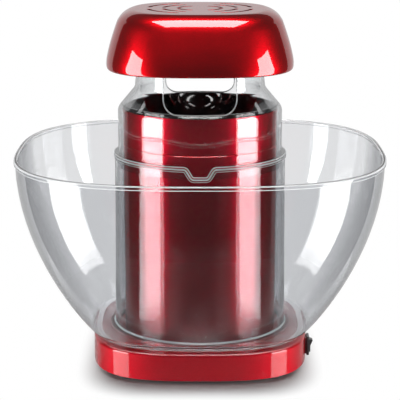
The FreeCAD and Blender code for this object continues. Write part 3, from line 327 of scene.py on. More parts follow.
def add_node(tree, kind, inputs=None, **settings):
    """A node with its settings; inputs gives each socket a value or another node's output."""
    node = tree.nodes.new(kind)
    for key, value in settings.items():
        setattr(node, key, value)
    for socket, value in (inputs or {}).items():
        if isinstance(value, bpy.types.NodeSocket):
            tree.links.new(value, node.inputs[socket])
        else:
            node.inputs[socket].default_value = value
    return node


def blank_material(name):
    """A material with an empty node tree."""
    material = bpy.data.materials.new(name)
    material.use_nodes = True
    material.node_tree.nodes.clear()
    return material


# %% [markdown]
# ## A finish with grain
# Most real surfaces differ in the same few ways: a colour that drifts a little, a gloss that is
# patchy from handling, and a fine relief left by the mould, the drawing die or the spray gun. One
# function lays these three over any base, each at a size given in millimetres.

# %% The grained finish
def grained(name, colour, drift, rough, patch, grain, relief, **constants):
    """A finish: colour drifts to a second hex, roughness runs between two values over patches,
    and a relief stands in grains, all sizes in millimetres. Constants go on the shader's sockets."""
    material = blank_material(name)
    tree = material.node_tree
    place = add_node(tree, "ShaderNodeTexCoord").outputs["Object"]
    clouds = add_node(tree, "ShaderNodeTexNoise", {
        "Vector": place, "Scale": 1 / (patch * MM), "Detail": 4.0, "Roughness": 0.6})
    tone = add_node(tree, "ShaderNodeMix", {
        "Factor": clouds.outputs["Fac"], "A": linear(colour), "B": linear(drift)}, data_type="RGBA")
    gloss = add_node(tree, "ShaderNodeMapRange", {
        "Value": clouds.outputs["Fac"], "From Min": 0.3, "From Max": 0.7,
        "To Min": rough[0], "To Max": rough[1]})
    pits = add_node(tree, "ShaderNodeTexNoise", {
        "Vector": place, "Scale": 1 / (grain * MM), "Detail": 2.0})
    bump = add_node(tree, "ShaderNodeBump", {
        "Height": pits.outputs["Fac"], "Distance": relief * MM, "Strength": 1.0})
    shader = add_node(tree, "ShaderNodeBsdfPrincipled", {
        "Base Color": tone.outputs["Result"], "Roughness": gloss.outputs["Result"],
        "Normal": bump.outputs["Normal"], **constants})
    add_node(tree, "ShaderNodeOutputMaterial", {"Surface": shader.outputs["BSDF"]})
    return material


# %% [markdown]
# ## The red lacquer
# The base, the drum and the cap share one finish: a metallic red sprayed over smooth plastic or
# steel, under a thick clear lacquer. The flakes throw a soft, deep red highlight that fades to
# maroon where they face away from the light, and the lacquer lays a sharp, nearly white mirror
# image of the lamps over it. A plain glossy red would have the mirror images without the glow. So
# the base is metallic with a medium roughness, and the coat is sharp. The coat's IOR is set above a
# real lacquer's 1.5, which makes the mirror images as strong as on a thick, polished coat. Real
# flakes are about 0.05 mm, too fine to show, so they are drawn 0.6 mm across.

# %% Red lacquer on steel and on plastic
FLAKE, ORANGE_PEEL, HANDLED_PATCH = 0.6, 3.5, 45


def lacquer(name, colour, drift, spread):
    """Metallic paint under clear lacquer; spread is the roughness of flakes that lie askew."""
    material = blank_material(name)
    tree = material.node_tree
    place = add_node(tree, "ShaderNodeTexCoord").outputs["Object"]
    cells = add_node(tree, "ShaderNodeTexVoronoi", {"Vector": place, "Scale": 1 / (FLAKE * MM)})
    sparkle = add_node(tree, "ShaderNodeSeparateColor", {"Color": cells.outputs["Color"]})
    haze = add_node(tree, "ShaderNodeTexNoise", {
        "Vector": place, "Scale": 1 / (HANDLED_PATCH * MM), "Detail": 3.0})
    tone = add_node(tree, "ShaderNodeMix", {
        "Factor": sparkle.outputs["Red"], "A": linear(colour), "B": linear(drift)}, data_type="RGBA")
    flakes = add_node(tree, "ShaderNodeMapRange", {
        "Value": sparkle.outputs["Green"], "To Min": spread, "To Max": spread + 0.06})
    handled = add_node(tree, "ShaderNodeMapRange", {
        "Value": haze.outputs["Fac"], "From Min": 0.35, "From Max": 0.7, "To Min": 0.0, "To Max": 0.05})
    gloss = add_node(tree, "ShaderNodeMath", {
        0: flakes.outputs["Result"], 1: handled.outputs["Result"]}, operation="ADD")
    peel = add_node(tree, "ShaderNodeTexNoise", {
        "Vector": place, "Scale": 1 / (ORANGE_PEEL * MM), "Detail": 1.0})
    bump = add_node(tree, "ShaderNodeBump", {
        "Height": peel.outputs["Fac"], "Distance": 0.004 * MM, "Strength": 1.0})
    shader = add_node(tree, "ShaderNodeBsdfPrincipled", {
        "Base Color": tone.outputs["Result"], "Metallic": 1.0, "Roughness": gloss.outputs["Value"],
        "Specular Tint": linear("#D8202E"), "Coat Weight": 1.0, "Coat Roughness": 0.03, "Coat IOR": 1.72,
        "Normal": bump.outputs["Normal"], "Coat Normal": bump.outputs["Normal"]})
    add_node(tree, "ShaderNodeOutputMaterial", {"Surface": shader.outputs["BSDF"]})
    return material


# The cap's flakes lie flattest, so its highlights are tight and its dark parts deep. On the base
# they lie most askew, which spreads an even glow over its front. The drum is in between, and its red
# is set a little lighter than the cap's: painted light that makes up for light lost in the clear
# chimney and bowl round it.
red_lacquer_on_abs = lacquer("red_lacquer_on_abs", "#B8030D", "#C40412", 0.305)
red_lacquer_on_base = lacquer("red_lacquer_on_base", "#A8081A", "#B40C20", 0.58)
red_lacquer_on_steel = lacquer("red_lacquer_on_steel", "#C00620", "#C8082A", 0.34)
print("lacquer flakes drawn", FLAKE, "mm across")

# %% [markdown]
# ## The clear plastic
# The bowl and the chimney are moulded in a clear styrene blend, polished in the mould. Its IOR is
# about 1.57, and 1.5 is used, which keeps pale walls from mirroring too much. A wall is tinted faintly
# grey, and the tint is painted darker where one looks along it: painted shade, standing in for light
# lost along the wall. Long soft ripples from the mould bend the reflections a little. Fingers leave
# slightly duller patches. Light that has run along inside a wall comes out at its rounded edges, so
# these look milky and pale. Tracing that light would take many bounces, so the edges get a pale
# finish of their own, which paints that light in.

# %% Clear moulded styrene
RIPPLE, FINGER_PATCH = 28, 22


def clear_moulding(name, tint, rim, clear=1.0):
    """Clear plastic with long ripples; rim is the darker tint painted where a wall is seen edge-on,
    as painted shade, and clear is how much light passes.
    """
    material = blank_material(name)
    tree = material.node_tree
    place = add_node(tree, "ShaderNodeTexCoord").outputs["Object"]
    waves = add_node(tree, "ShaderNodeTexNoise", {
        "Vector": place, "Scale": 1 / (RIPPLE * MM), "Detail": 1.0})
    smudge = add_node(tree, "ShaderNodeTexNoise", {
        "Vector": place, "Scale": 1 / (FINGER_PATCH * MM), "Detail": 5.0, "Roughness": 0.65})
    dull = add_node(tree, "ShaderNodeMapRange", {
        "Value": smudge.outputs["Fac"], "From Min": 0.45, "From Max": 0.8, "To Min": 0.012, "To Max": 0.05})
    bump = add_node(tree, "ShaderNodeBump", {
        "Height": waves.outputs["Fac"], "Distance": 0.02 * MM, "Strength": 1.0})
    # Painted shade: the tint turns darker where a wall is seen edge-on, standing in for light lost along
    # it.
    edge_on = add_node(tree, "ShaderNodeLayerWeight", {"Blend": 0.5})
    depth = add_node(tree, "ShaderNodeMapRange", {
        "Value": edge_on.outputs["Facing"], "From Min": 0.62, "From Max": 0.95},
        interpolation_type="SMOOTHSTEP")
    body = add_node(tree, "ShaderNodeMix", {
        "Factor": depth.outputs["Result"], "A": linear(tint), "B": linear(rim)}, data_type="RGBA")
    shader = add_node(tree, "ShaderNodeBsdfPrincipled", {
        "Base Color": body.outputs["Result"], "Roughness": dull.outputs["Result"], "IOR": 1.5,
        "Transmission Weight": clear, "Normal": bump.outputs["Normal"]})
    add_node(tree, "ShaderNodeOutputMaterial", {"Surface": shader.outputs["BSDF"]})
    return material


# The bowl and the chimney are one styrene in two tints: the chimney's is set clearer, as painted
# light that keeps the drum behind it bright, and the bowl's is greyer, as painted shade that dims its
# long walls. The third finish, on rounded edges, is painted light: the light that runs along inside
# a wall and comes out there.
clear_styrene = clear_moulding("clear_styrene", "#E7E8EA", "#A0A3A7")
clear_chimney_styrene = clear_moulding("clear_chimney_styrene", "#F7F8F9", "#94979A")
clear_styrene_painted_edge_light = clear_moulding("clear_styrene_painted_edge_light", "#F4F6F8", "#D8DBDE", clear=0.3)
print("clear plastic with ripples", RIPPLE, "mm long")

# %% [markdown]
# ## The other finishes
# Each is a grained finish named for what it is. Gloss comes from the mould or the roller, so the
# numbers run from a polished black moulding down to dull rubber, and metals keep their true colour
# as the base with a roughness from drawing, stamping or plating.

# %% Plastics, rubber, metals and the small parts' finishes
POLISH = {"Coat Weight": 0.4, "Coat Roughness": 0.03}
METAL = {"Metallic": 1.0}
finishes = {material.name: material for material in (
    # Moulded in a polished tool: a deep black that mirrors its surroundings.
    grained("polished_black_abs", "#262324", "#2C292A", (0.03, 0.09), 18, 4.0, 0.004, **POLISH),
    # Moulded in a tool with an etched grain: an even, dull black that hides scratches.
    grained("textured_black_abs", "#17171A", "#202024", (0.42, 0.58), 15, 0.7, 0.03),
    # Pressed rubber: dead black, with no highlight and a little dust in its pores.
    grained("black_rubber", "#151516", "#1E1E20", (0.68, 0.86), 6, 0.9, 0.04),
    # Drawn and anodised aluminium: light grey metal with a satin gloss.
    grained("anodised_aluminium", "#A6A6AA", "#98989C", (0.14, 0.26), 12, 0.8, 0.006, **METAL),
    # Steel with a coat of tin: bright grey, with cloudy patches that are duller.
    grained("tinned_steel", "#B9BABD", "#A6A7AB", (0.24, 0.4), 14, 1.2, 0.008, **METAL),
    # Zinc plating on screws: bluish grey, and duller than the tin.
    grained("zinc_plate", "#AEB2B8", "#9DA0A2", (0.3, 0.46), 3, 0.6, 0.008, **METAL),
    # Unfilled moulded nylon: a warm white that lets a little light into itself.
    grained("natural_nylon", "#D8D3C0", "#CCC6B0", (0.4, 0.52), 14, 0.9, 0.02,
            **{"Subsurface Weight": 0.1, "Subsurface Scale": 0.002}),
    # Brass tags stamped from sheet: yellow metal, slightly tarnished.
    grained("stamped_brass", "#C8A24E", "#B48E40", (0.28, 0.42), 4, 0.6, 0.008, **METAL),
    # Mica flakes pressed into a board: a mottled tan with a patchy gleam.
    grained("pressed_mica", "#9A8B6E", "#7E7158", (0.35, 0.6), 5, 0.8, 0.03),
    # Nichrome after its first heating: a brown-grey oxide skin over metal.
    grained("oxidised_nichrome", "#5E5750", "#463F3A", (0.45, 0.6), 5, 0.7, 0.02, Metallic=0.9),
    # Resin-bonded paper board, pressed between plates: smooth and brown.
    grained("phenolic_board", "#8A6332", "#7A552A", (0.4, 0.5), 5, 0.7, 0.01),
    # Fired, unglazed ceramic: chalky white.
    grained("white_ceramic", "#DAD8D0", "#CFCCC2", (0.45, 0.6), 5, 0.7, 0.02),
    # Thick white ink, pad-printed: flat and nearly even.
    grained("white_print", "#E6E6E4", "#DEDEDB", (0.35, 0.45), 3, 0.8, 0.003),
)}
print(len(finishes), "plain finishes")

# %% [markdown]
# ## The base
# A moulded housing, open below, with softly rounded square sides. It grows ring by ring: up the
# outside, over the top to a raised round seat for the bowl, in to the bore under the drum, and back
# along the inside. A bevelled box would have flat sides and corners of one radius, where this form
# bulges all the way round. The long top edge gets a 2.2 mm round that draws a bright line.

# %% Base housing
base_low, base_high = box("base_housing")
BASE_HALF, BASE_FOOT, SEAT_TOP = half_width("base_housing"), base_low.z, base_high.z
BASE_POWER, BASE_WALL = 3.1, 2.5
SEAT_IN, SEAT_OUT, SEAT_RISE, BORE = 69.4, 73.4, 1.8, 50.0
BASE_TOP = SEAT_TOP - SEAT_RISE
BASE_CEILING = BASE_TOP - BASE_WALL
inner_foot = ring(BASE_HALF - BASE_WALL, BASE_FOOT, BASE_POWER)
inner_top = ring(BASE_HALF - BASE_WALL, BASE_CEILING, BASE_POWER)
base_rings = [inner_foot]
base_rings += [ring(BASE_HALF, level, BASE_POWER) for level in (BASE_FOOT, 8.0, 20.0, BASE_TOP)]
base_rings += [ring(BASE_HALF - 6, BASE_TOP, 2.9), ring(SEAT_OUT, BASE_TOP), ring(SEAT_OUT, SEAT_TOP)]
base_rings += [ring(SEAT_IN, SEAT_TOP), ring(SEAT_IN, BASE_TOP), ring(BORE, BASE_TOP)]
base_rings += [ring(BORE, BASE_CEILING), ring(SEAT_IN, BASE_CEILING), inner_top]
# The foot, the long top edge, and the seat's outer foot and two top edges are rounded.
base = loft("base_housing_moulding", base_rings, [red_lacquer_on_base],
            {1: 0.6, 4: 2.2, 6: 0.4, 7: 0.5, 8: 0.4})

# %% Openings for the switch and the cord
frame_low, frame_high = box("switch_frame")
SWITCH_Y = (frame_low.y + frame_high.y) / 2
SWITCH_Z = (frame_low.z + frame_high.z) / 2
SWITCH_WIDE = (frame_high.y - frame_low.y) / 2
SWITCH_TALL = (frame_high.z - frame_low.z) / 2
BEZEL_LAP = 0.9
CORD_Z, CORD_BORE = 14.35, 4.6
BEHIND_WALL, THROUGH_WALL = BASE_HALF - 8, 12
hole = [(BEHIND_WALL, SWITCH_Y + a * (SWITCH_WIDE - BEZEL_LAP), SWITCH_Z + b * (SWITCH_TALL - BEZEL_LAP))
        for a, b in ((-1, -1), (1, -1), (1, 1), (-1, 1))]
bush = [(CORD_BORE * cos(a), BEHIND_WALL, CORD_Z + CORD_BORE * sin(a)) for a in around(32)]
cut(base, prism(hole, (THROUGH_WALL, 0, 0)), prism(bush, (0, THROUGH_WALL, 0)))
smooth(base)
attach(base, "base")
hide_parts("base_housing")
print("base faces", len(base.data.polygons))

# %% [markdown]
# ## The drum
# A drawn steel tube with a turned-in foot, lacquered like the base. Near its top runs one fine
# rolled line. It is a plain turning, but the line has to be a real groove with its own small
# flanks, so that it glints.

# %% Drum
drum_high = box("drum_shell")[1]
DRUM, DRUM_TOP = drum_high.x, drum_high.z
DRUM_SHEET, DRUM_FOOT_IN = 1.2, DRUM - 9
LINE, LINE_DEPTH, LINE_HALF = BASE_TOP + 150.3, 0.5, 0.7
drum = turn("drum_tube", [
    (DRUM_FOOT_IN, BASE_TOP), (DRUM, BASE_TOP), (DRUM, LINE - LINE_HALF),
    (DRUM - LINE_DEPTH, LINE - 0.15), (DRUM - LINE_DEPTH, LINE + 0.15), (DRUM, LINE + LINE_HALF),
    (DRUM, DRUM_TOP), (DRUM - DRUM_SHEET, DRUM_TOP), (DRUM - DRUM_SHEET, BASE_TOP + DRUM_SHEET),
    (DRUM_FOOT_IN, BASE_TOP + DRUM_SHEET)], steps=192)
drum.data.materials.append(red_lacquer_on_steel)
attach(drum, "base")
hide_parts("drum_shell")
print("drum", round(2 * DRUM, 1), "mm across, its line at", round(LINE, 1))

# %% [markdown]
# ## The funnel rim
# A glossy black ring caps the drum and leads down as a funnel to the popping chamber. Its lip is
# rounded, and the round is where the lamps show as thin white arcs. The funnel's upper part leans
# 36 degrees from upright, where the CAD model's wall is steeper, by up to 3 mm: from in front it
# then mirrors the cap's slots, with the lamp above shining through them, as a few curved glints.

# %% Funnel rim
rim_low, rim_high = box("funnel_rim")
RIM_TOP, RIM_FOOT = rim_high.z, rim_low.z
THROAT, MOUTH, RIM_OUT, SPIGOT = 42.8, 57.9, DRUM - 0.5, DRUM - 1.6
UPPER_TALL, UPPER_LEAN = 14, radians(36)
funnel = turn("funnel_rim_moulding", [
    (THROAT, RIM_FOOT), (THROAT + 10, RIM_FOOT), (THROAT + 10, RIM_FOOT + 2), (THROAT + 2, RIM_FOOT + 2),
    (MOUTH - 1.0, DRUM_TOP - 4.5), (MOUTH + 0.6, DRUM_TOP - 2.7), (SPIGOT, DRUM_TOP - 2.7),
    (SPIGOT, DRUM_TOP), (RIM_OUT, DRUM_TOP), (RIM_OUT, RIM_TOP), (MOUTH, RIM_TOP),
    (MOUTH - UPPER_TALL * tan(UPPER_LEAN), RIM_TOP - UPPER_TALL), (THROAT, RIM_FOOT + 2)],
    steps=160, bevel=0.9)
funnel.data.materials.append(finishes["polished_black_abs"])
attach(funnel, "base")
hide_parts("funnel_rim")
print("funnel", round(2 * MOUTH, 1), "mm at its mouth,", round(2 * THROAT, 1), "at its throat")

# %% [markdown]
# ## The notch at the front
# The chimney's flange sits on the bowl's collar, and at the front both dip into a small notch that
# keeps the chimney from turning. The edge's path is drawn once, flat, with rounded corners. Edges
# that run beside it are the same path moved outwards, so that the band keeps its thickness. The
# flat path is then wrapped on to the collar's radius.

# %% The notch's path, offset and wrapped
COLLAR, COLLAR_TOP = half_width("chimney"), 168.4
NOTCH_TOP, NOTCH_FOOT, NOTCH_DEPTH = 10.0, 5.2, 7.8
NOTCH_TOP_ROUND, NOTCH_FOOT_ROUND = 5.0, 1.2
NOTCH_SLOPE = atan2(NOTCH_DEPTH, NOTCH_TOP - NOTCH_FOOT)
BACK_STEPS = 150


def notch_corner(x, z, radius, start, end):
    """Five points round one corner of the path, between two headings."""
    side = 1 if end > start else -1
    reach = radius * tan(abs(end - start) / 2)
    first = (x - reach * cos(start), z - reach * sin(start))
    centre = (first[0] - side * radius * sin(start), first[1] + side * radius * cos(start))
    headings = [start + (end - start) * i / 4 for i in range(5)]
    return [(centre[0] + side * radius * sin(h), centre[1] - side * radius * cos(h)) for h in headings]


def notch_path(drop):
    """Points (x, z) across the notch from left to right, a distance below its outline."""
    shift = drop * tan(NOTCH_SLOPE / 2)
    left = notch_corner(-NOTCH_TOP - shift, -drop, max(1.0, NOTCH_TOP_ROUND - drop), 0, -NOTCH_SLOPE)
    left += notch_corner(-NOTCH_FOOT - shift, -NOTCH_DEPTH - drop, NOTCH_FOOT_ROUND + drop, -NOTCH_SLOPE, 0)
    middle = [(x, -NOTCH_DEPTH - drop) for x in (-2.0, 0.0, 2.0)]
    return left + middle + [(-x, z) for x, z in reversed(left)]


def notched_ring(radius, drop):
    """A round section a distance below the collar's top, whose front follows the notch."""
    front = [(asin(x / COLLAR), z) for x, z in notch_path(drop)]
    last = front[-1][0]
    rest = [(last + (2 * pi - 2 * last) * (i + 1) / (BACK_STEPS + 1), -drop) for i in range(BACK_STEPS)]
    return [Vector((radius * sin(a), -radius * cos(a), COLLAR_TOP + z)) for a, z in front + rest]


NOTCH_ANGLES = [atan2(p.x, -p.y) for p in notched_ring(COLLAR, 3.0)]
print("points in a notched ring", len(NOTCH_ANGLES))

# %% [markdown]
# ## The bowl
# A clear ring-shaped bowl in one moulding: a flared rounded-square wall with a thick lip, a flat
# floor, and a tube in the middle that drops over the drum. One closed loft makes it, from the
# tube's foot out along the floor, up and over the lip, down inside, up the tube, round the notched
# collar and down the bore. Two shells joined at the floor would do, but clear plastic shows every
# seam. The wall opens quickly at first and slowly near the rim.

# %% Bowl sections
bowl_low, bowl_high = box("bowl")
FLOOR, BOWL_TOP, LIP_OUT = bowl_low.z, bowl_high.z, half_width("bowl")
FLOOR_HALF, RIM_HALF, BOWL_POWER, BOWL_WALL = 84.0, LIP_OUT - 1, 2.83, 2.2
FLOOR_INSIDE, LIP_FOOT = FLOOR + BOWL_WALL, BOWL_TOP - 3.4
TUBE, TUBE_FOOT, TUBE_BORE, TUBE_LOW, TUBE_HIGH = 68.0, 69.4, 65.6, 95.0, 150.0
BAND_FOOT, BAND_MIDDLE = 4.3, 2.15
WALL_STEPS = 18


def bowl_half(level):
    """Half width of the bowl's outside at a level."""
    share = (level - FLOOR) / (BOWL_TOP - FLOOR)
    return FLOOR_HALF + (RIM_HALF - FLOOR_HALF) * sin(pi / 2 * share) ** 0.82


def square(half, level):
    """A rounded-square section of the bowl."""
    return ring(half, level, BOWL_POWER, NOTCH_ANGLES)


def round_section(radius, level):
    """A round section that shares the notched ring's points."""
    return ring(radius, level, 2.0, NOTCH_ANGLES)


def wall_levels(low, high):
    """Levels up the wall, closer together near the floor, where the wall bends most."""
    return [low + (high - low) * ((i + 1) / WALL_STEPS) ** 1.5 for i in range(WALL_STEPS)]


print("bowl half width halfway up", round(bowl_half((FLOOR + BOWL_TOP) / 2), 1))

# %% Bowl
bowl_rings = [round_section(TUBE_BORE + 1.4, FLOOR), square(80.0, FLOOR), square(FLOOR_HALF, FLOOR)]
bowl_rings += [square(bowl_half(z), z) for z in wall_levels(FLOOR, LIP_FOOT)]
lip = len(bowl_rings)
bowl_rings += [square(LIP_OUT, LIP_FOOT), square(LIP_OUT, BOWL_TOP)]
bowl_rings += [square(bowl_half(z) - BOWL_WALL, z) for z in reversed(wall_levels(FLOOR_INSIDE, BOWL_TOP))]
floor_inside = len(bowl_rings)
bowl_rings += [square(FLOOR_HALF - BOWL_WALL, FLOOR_INSIDE), square(77.0, FLOOR_INSIDE)]
tube_foot = len(bowl_rings)
bowl_rings += [round_section(TUBE_FOOT, FLOOR_INSIDE), round_section(TUBE + 0.6, TUBE_LOW)]
bowl_rings += [round_section(TUBE + 0.12, TUBE_HIGH), notched_ring(TUBE, BAND_FOOT)]
collar = len(bowl_rings)
bowl_rings += [notched_ring(COLLAR, BAND_FOOT), notched_ring(COLLAR, BAND_MIDDLE)]
bowl_rings += [notched_ring(TUBE_BORE, BAND_MIDDLE), round_section(TUBE_BORE + 0.1, TUBE_HIGH)]
bowl_rings += [round_section(TUBE_BORE + 0.7, TUBE_LOW)]
# The floor's corner outside, the lip, the floor's corner inside, the tube's foot and the collar
# are rounded.
# The rounded faces take the pale finish that paints light on the edges.
bowl = loft("bowl_moulding", bowl_rings, [clear_styrene, clear_styrene_painted_edge_light], {
    2: 1.8, lip: 0.7, lip + 1: 1.0, lip + 2: 0.9, floor_inside: 1.6, tube_foot: 1.2,
    collar: 0.6, collar + 1: 0.6, collar + 2: 0.4})
smooth(bowl, 38)
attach(bowl, "bowl")
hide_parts("bowl")
print("bowl faces", len(bowl.data.polygons), "half width at the rim", round(bowl_half(BOWL_TOP), 1))

# %% [markdown]
# ## The chimney
# A clear tube that stands on the bowl's collar, narrows at a soft shoulder to a neck inside the
# cap, and has a wide window at the front and the back where the popped corn falls out. Its flange
# dips into the notch. It is lofted like the bowl, then the two windows are cut in one stroke. The
# shoulder is a cone between two equal bends, which bends what is seen through it less than the CAD
# model's two arcs would, and stays within about 2 mm of them.

# %% Chimney sections
chimney_low, chimney_high = box("chimney")
CHIMNEY, CHIMNEY_TOP, CHIMNEY_WALL = 65.2, chimney_high.z, 2.2
NECK, NECK_TOP = 51.4, 49.8
SHOULDER, SHOULDER_TALL = RIM_TOP - 4.9, 22.0
SPIGOT_FOOT = chimney_low.z
FLANGE = 2.08
SWING = radians(40)
# The bend's radius follows from the straight part having to meet both bends.
BEND = (SHOULDER_TALL * sin(SWING) - (CHIMNEY - NECK) * cos(SWING)) / (2 * (1 - cos(SWING)))


def skin(inset):
    """Radius and level up the chimney's shoulder and neck, a distance inside its outer skin."""
    turns = [SWING * i / 9 for i in range(10)]
    inward = [(CHIMNEY - BEND + (BEND - inset) * cos(a), SHOULDER + (BEND - inset) * sin(a)) for a in turns]
    upward = [(NECK + BEND - (BEND + inset) * cos(a), SHOULDER + SHOULDER_TALL - (BEND + inset) * sin(a))
              for a in reversed(turns)]
    return inward + upward + [(NECK_TOP - inset, CHIMNEY_TOP - 24), (NECK_TOP - inset, CHIMNEY_TOP)]


print("the shoulder's bends have a radius of", round(BEND, 1))

# %% Chimney
chimney_rings = [round_section(CHIMNEY - CHIMNEY_WALL, SPIGOT_FOOT), round_section(CHIMNEY, SPIGOT_FOOT)]
chimney_rings += [notched_ring(CHIMNEY, FLANGE), notched_ring(COLLAR, FLANGE)]
chimney_rings += [notched_ring(COLLAR, 0.0), notched_ring(CHIMNEY, 0.0)]
chimney_rings += [round_section(CHIMNEY, COLLAR_TOP + 8), round_section(CHIMNEY, COLLAR_TOP + 20)]
chimney_rings += [round_section(r, z) for r, z in skin(0)]
top = len(chimney_rings)
chimney_rings += [round_section(r, z) for r, z in reversed(skin(CHIMNEY_WALL))]
chimney_rings += [round_section(CHIMNEY - CHIMNEY_WALL, COLLAR_TOP + 20)]
# The flange's two outer edges and the neck's two top edges are rounded.
# The rounded faces take the pale finish that paints light on the edges.
chimney = loft("chimney_moulding", chimney_rings, [clear_chimney_styrene, clear_styrene_painted_edge_light],
               {3: 0.6, 4: 0.7, top - 1: 0.5, top: 0.5})

# %% Windows
WINDOW_HALF, WINDOW_FOOT, WINDOW_TALL, WINDOW_CORNER = 27.8, RIM_TOP + 0.8, 41.0, 10.0
outline = []
for quarter, (sx, sz) in enumerate(((1, 1), (-1, 1), (-1, -1), (1, -1))):
    for i in range(9):
        a = pi / 2 * (quarter + i / 8)
        outline.append((sx * (WINDOW_HALF - WINDOW_CORNER) + WINDOW_CORNER * cos(a), -120,
                        WINDOW_FOOT + WINDOW_TALL / 2 + sz * (WINDOW_TALL / 2 - WINDOW_CORNER)
                        + WINDOW_CORNER * sin(a)))
cut(chimney, prism(outline, (0, 240, 0)))


def window_edge(edge):
    """True for the sharp edges round a window."""
    middle = (edge.verts[0].co + edge.verts[1].co) / 2 / MM
    across = abs(middle.x) < WINDOW_HALF + 0.5
    up = WINDOW_FOOT - 0.5 < middle.z < WINDOW_FOOT + WINDOW_TALL + 0.5
    return across and up and len(edge.link_faces) == 2 and edge.calc_face_angle() > radians(50)


only(chimney)
bpy.ops.object.mode_set(mode="EDIT")
print("window edges", pick("EDGE", window_edge))
# The window's rounded edges take the pale finish that paints light on them.
bpy.ops.mesh.bevel(offset=0.7 * MM, segments=3, affect="EDGES", material=1)
smooth(chimney, 38)
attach(chimney, "chimney")
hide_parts("chimney")
print("chimney faces", len(chimney.data.polygons))

# %% [markdown]
# ## The cap
# A moulded and lacquered cap, a rounded square that leans in as it rises, with a big round shoulder
# and three broken rings of steam slots in its top. The side is lofted, the top is filled, and one
# wide bevel makes the shoulder, evenly round at the corners too. Solidify then gives it a 2.5 mm
# wall and the slots are cut through. The side is a gentle curve where the CAD model's is straight,
# within about 2 mm, because a straight side would mirror each lamp as a strip with straight edges.

# %% Cap outside
cap_low, cap_high = box("cap_shell")
CAP_FOOT, CAP_TOP = cap_low.z, cap_high.z
CAP_TOP_HALF, CAP_POWER, CAP_WALL, CAP_SHOULDER = 58.6, 2.75, 2.5, 16.0
# Levels up the side and the half width at each, in a gentle curve that turns in at its foot.
SKIRT = [(0, 73.0), (2.5, 73.5), (5, 73.6), (8, 73.3), (11, 72.7), (14.5, 71.9), (18, 71.0), (21.5, 70.0),
         (25, 68.9), (29, 67.6), (33, 66.2), (37, 64.7)]
lean = (SKIRT[-1][1] - CAP_TOP_HALF) / (CAP_TOP - CAP_FOOT - SKIRT[-1][0])
cap = loft("cap_moulding", [ring(half, CAP_FOOT + up, CAP_POWER) for up, half in SKIRT]
           + [ring(CAP_TOP_HALF, CAP_TOP, CAP_POWER)], [red_lacquer_on_abs], closed=False)
bpy.ops.object.mode_set(mode="EDIT")
pick("EDGE", lambda e: e.is_boundary and e.verts[0].co.z > (CAP_TOP - 1) * MM)
bpy.ops.mesh.edge_face_add()
pick("EDGE", lambda e: all(v.co.z > (CAP_TOP - 1) * MM for v in e.verts))
bpy.ops.mesh.bevel(offset=CAP_SHOULDER * tan(pi / 4 - atan(lean) / 2) * MM, segments=16, affect="EDGES")
bpy.ops.mesh.select_all(action="SELECT")
bpy.ops.mesh.normals_make_consistent(inside=False)
apply(cap, "SOLIDIFY", thickness=CAP_WALL * MM, offset=-1.0)


def outer_foot(edge):
    """True for the edges along the outside of the skirt's foot."""
    low = all(v.co.z < (CAP_FOOT + 0.2) * MM for v in edge.verts)
    return low and any(f.normal.z > -0.5 and f.normal.dot(Vector((*f.calc_center_median().xy, 0))) > 0
                       for f in edge.link_faces)


bpy.ops.object.mode_set(mode="EDIT")
print("foot edges", pick("EDGE", outer_foot))
bpy.ops.mesh.bevel(offset=1.5 * MM, segments=4, affect="EDGES")
bpy.ops.object.mode_set(mode="OBJECT")

# %% Steam slots
def slot_outline(radius, start, end, half):
    """Outline of a curved slot with round ends: out along one side, round the end, back along the other."""
    first, last = radians(start), radians(end)
    steps = [i / 8 for i in range(9)]
    outer = [(radius + half, first + (last - first) * t) for t in steps]
    inner = [(radius - half, last + (first - last) * t) for t in steps]
    points = []
    for side, end_angle, begin in ((outer, last, 0), (inner, first, pi)):
        points += [(r * cos(a), r * sin(a)) for r, a in side]
        centre = (radius * cos(end_angle), radius * sin(end_angle))
        points += [(centre[0] + half * cos(end_angle + begin + pi * i / 6),
                    centre[1] + half * sin(end_angle + begin + pi * i / 6)) for i in range(1, 6)]
    return [(x, y, CAP_TOP - 8) for x, y in points]


SLOT_RADII, SLOT_STARTS, SLOT_SWEEP, SLOT_HALF = (17.0, 29.0, 41.0), (12, 115, 192, 295), 53, 1.6
for radius in SLOT_RADII:
    for start in SLOT_STARTS:
        cut(cap, prism(slot_outline(radius, start, start + SLOT_SWEEP, SLOT_HALF), (0, 0, 12)))
soften(cap, 0.35, segments=2, angle=45)
smooth(cap, 38)
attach(cap, "cap")
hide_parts("cap_shell")
print("steam slots", len(SLOT_RADII) * len(SLOT_STARTS), "cap faces", len(cap.data.polygons))

# %% [markdown]
# ## The switch
# A small rocker in a bezel on the right-hand wall. The bezel is a cube whose outer face is inset
# and pushed in, as the real one is a frame round a well. The rocker is a shallow V drawn from the
# side and extruded across. It carries the usual bar and ring, as thin raised print.

# %% Switch bezel
BEZEL_PROUD, BEZEL_BACK = frame_high.x - BASE_HALF, BASE_HALF - 13.8
BEZEL_STEP, BEZEL_RIM, WELL_DEPTH = 1.0, 1.8, 10.2
body_wide, body_tall = SWITCH_WIDE - BEZEL_STEP, SWITCH_TALL - BEZEL_STEP
bezel = add(bpy.ops.mesh.primitive_cube_add, size=1,
            location=Vector(((BEZEL_BACK + frame_high.x) / 2, SWITCH_Y, SWITCH_Z)) * MM,
            scale=Vector((frame_high.x - BEZEL_BACK, 2 * body_wide, 2 * body_tall)) * MM)
bezel.name = "switch_bezel"
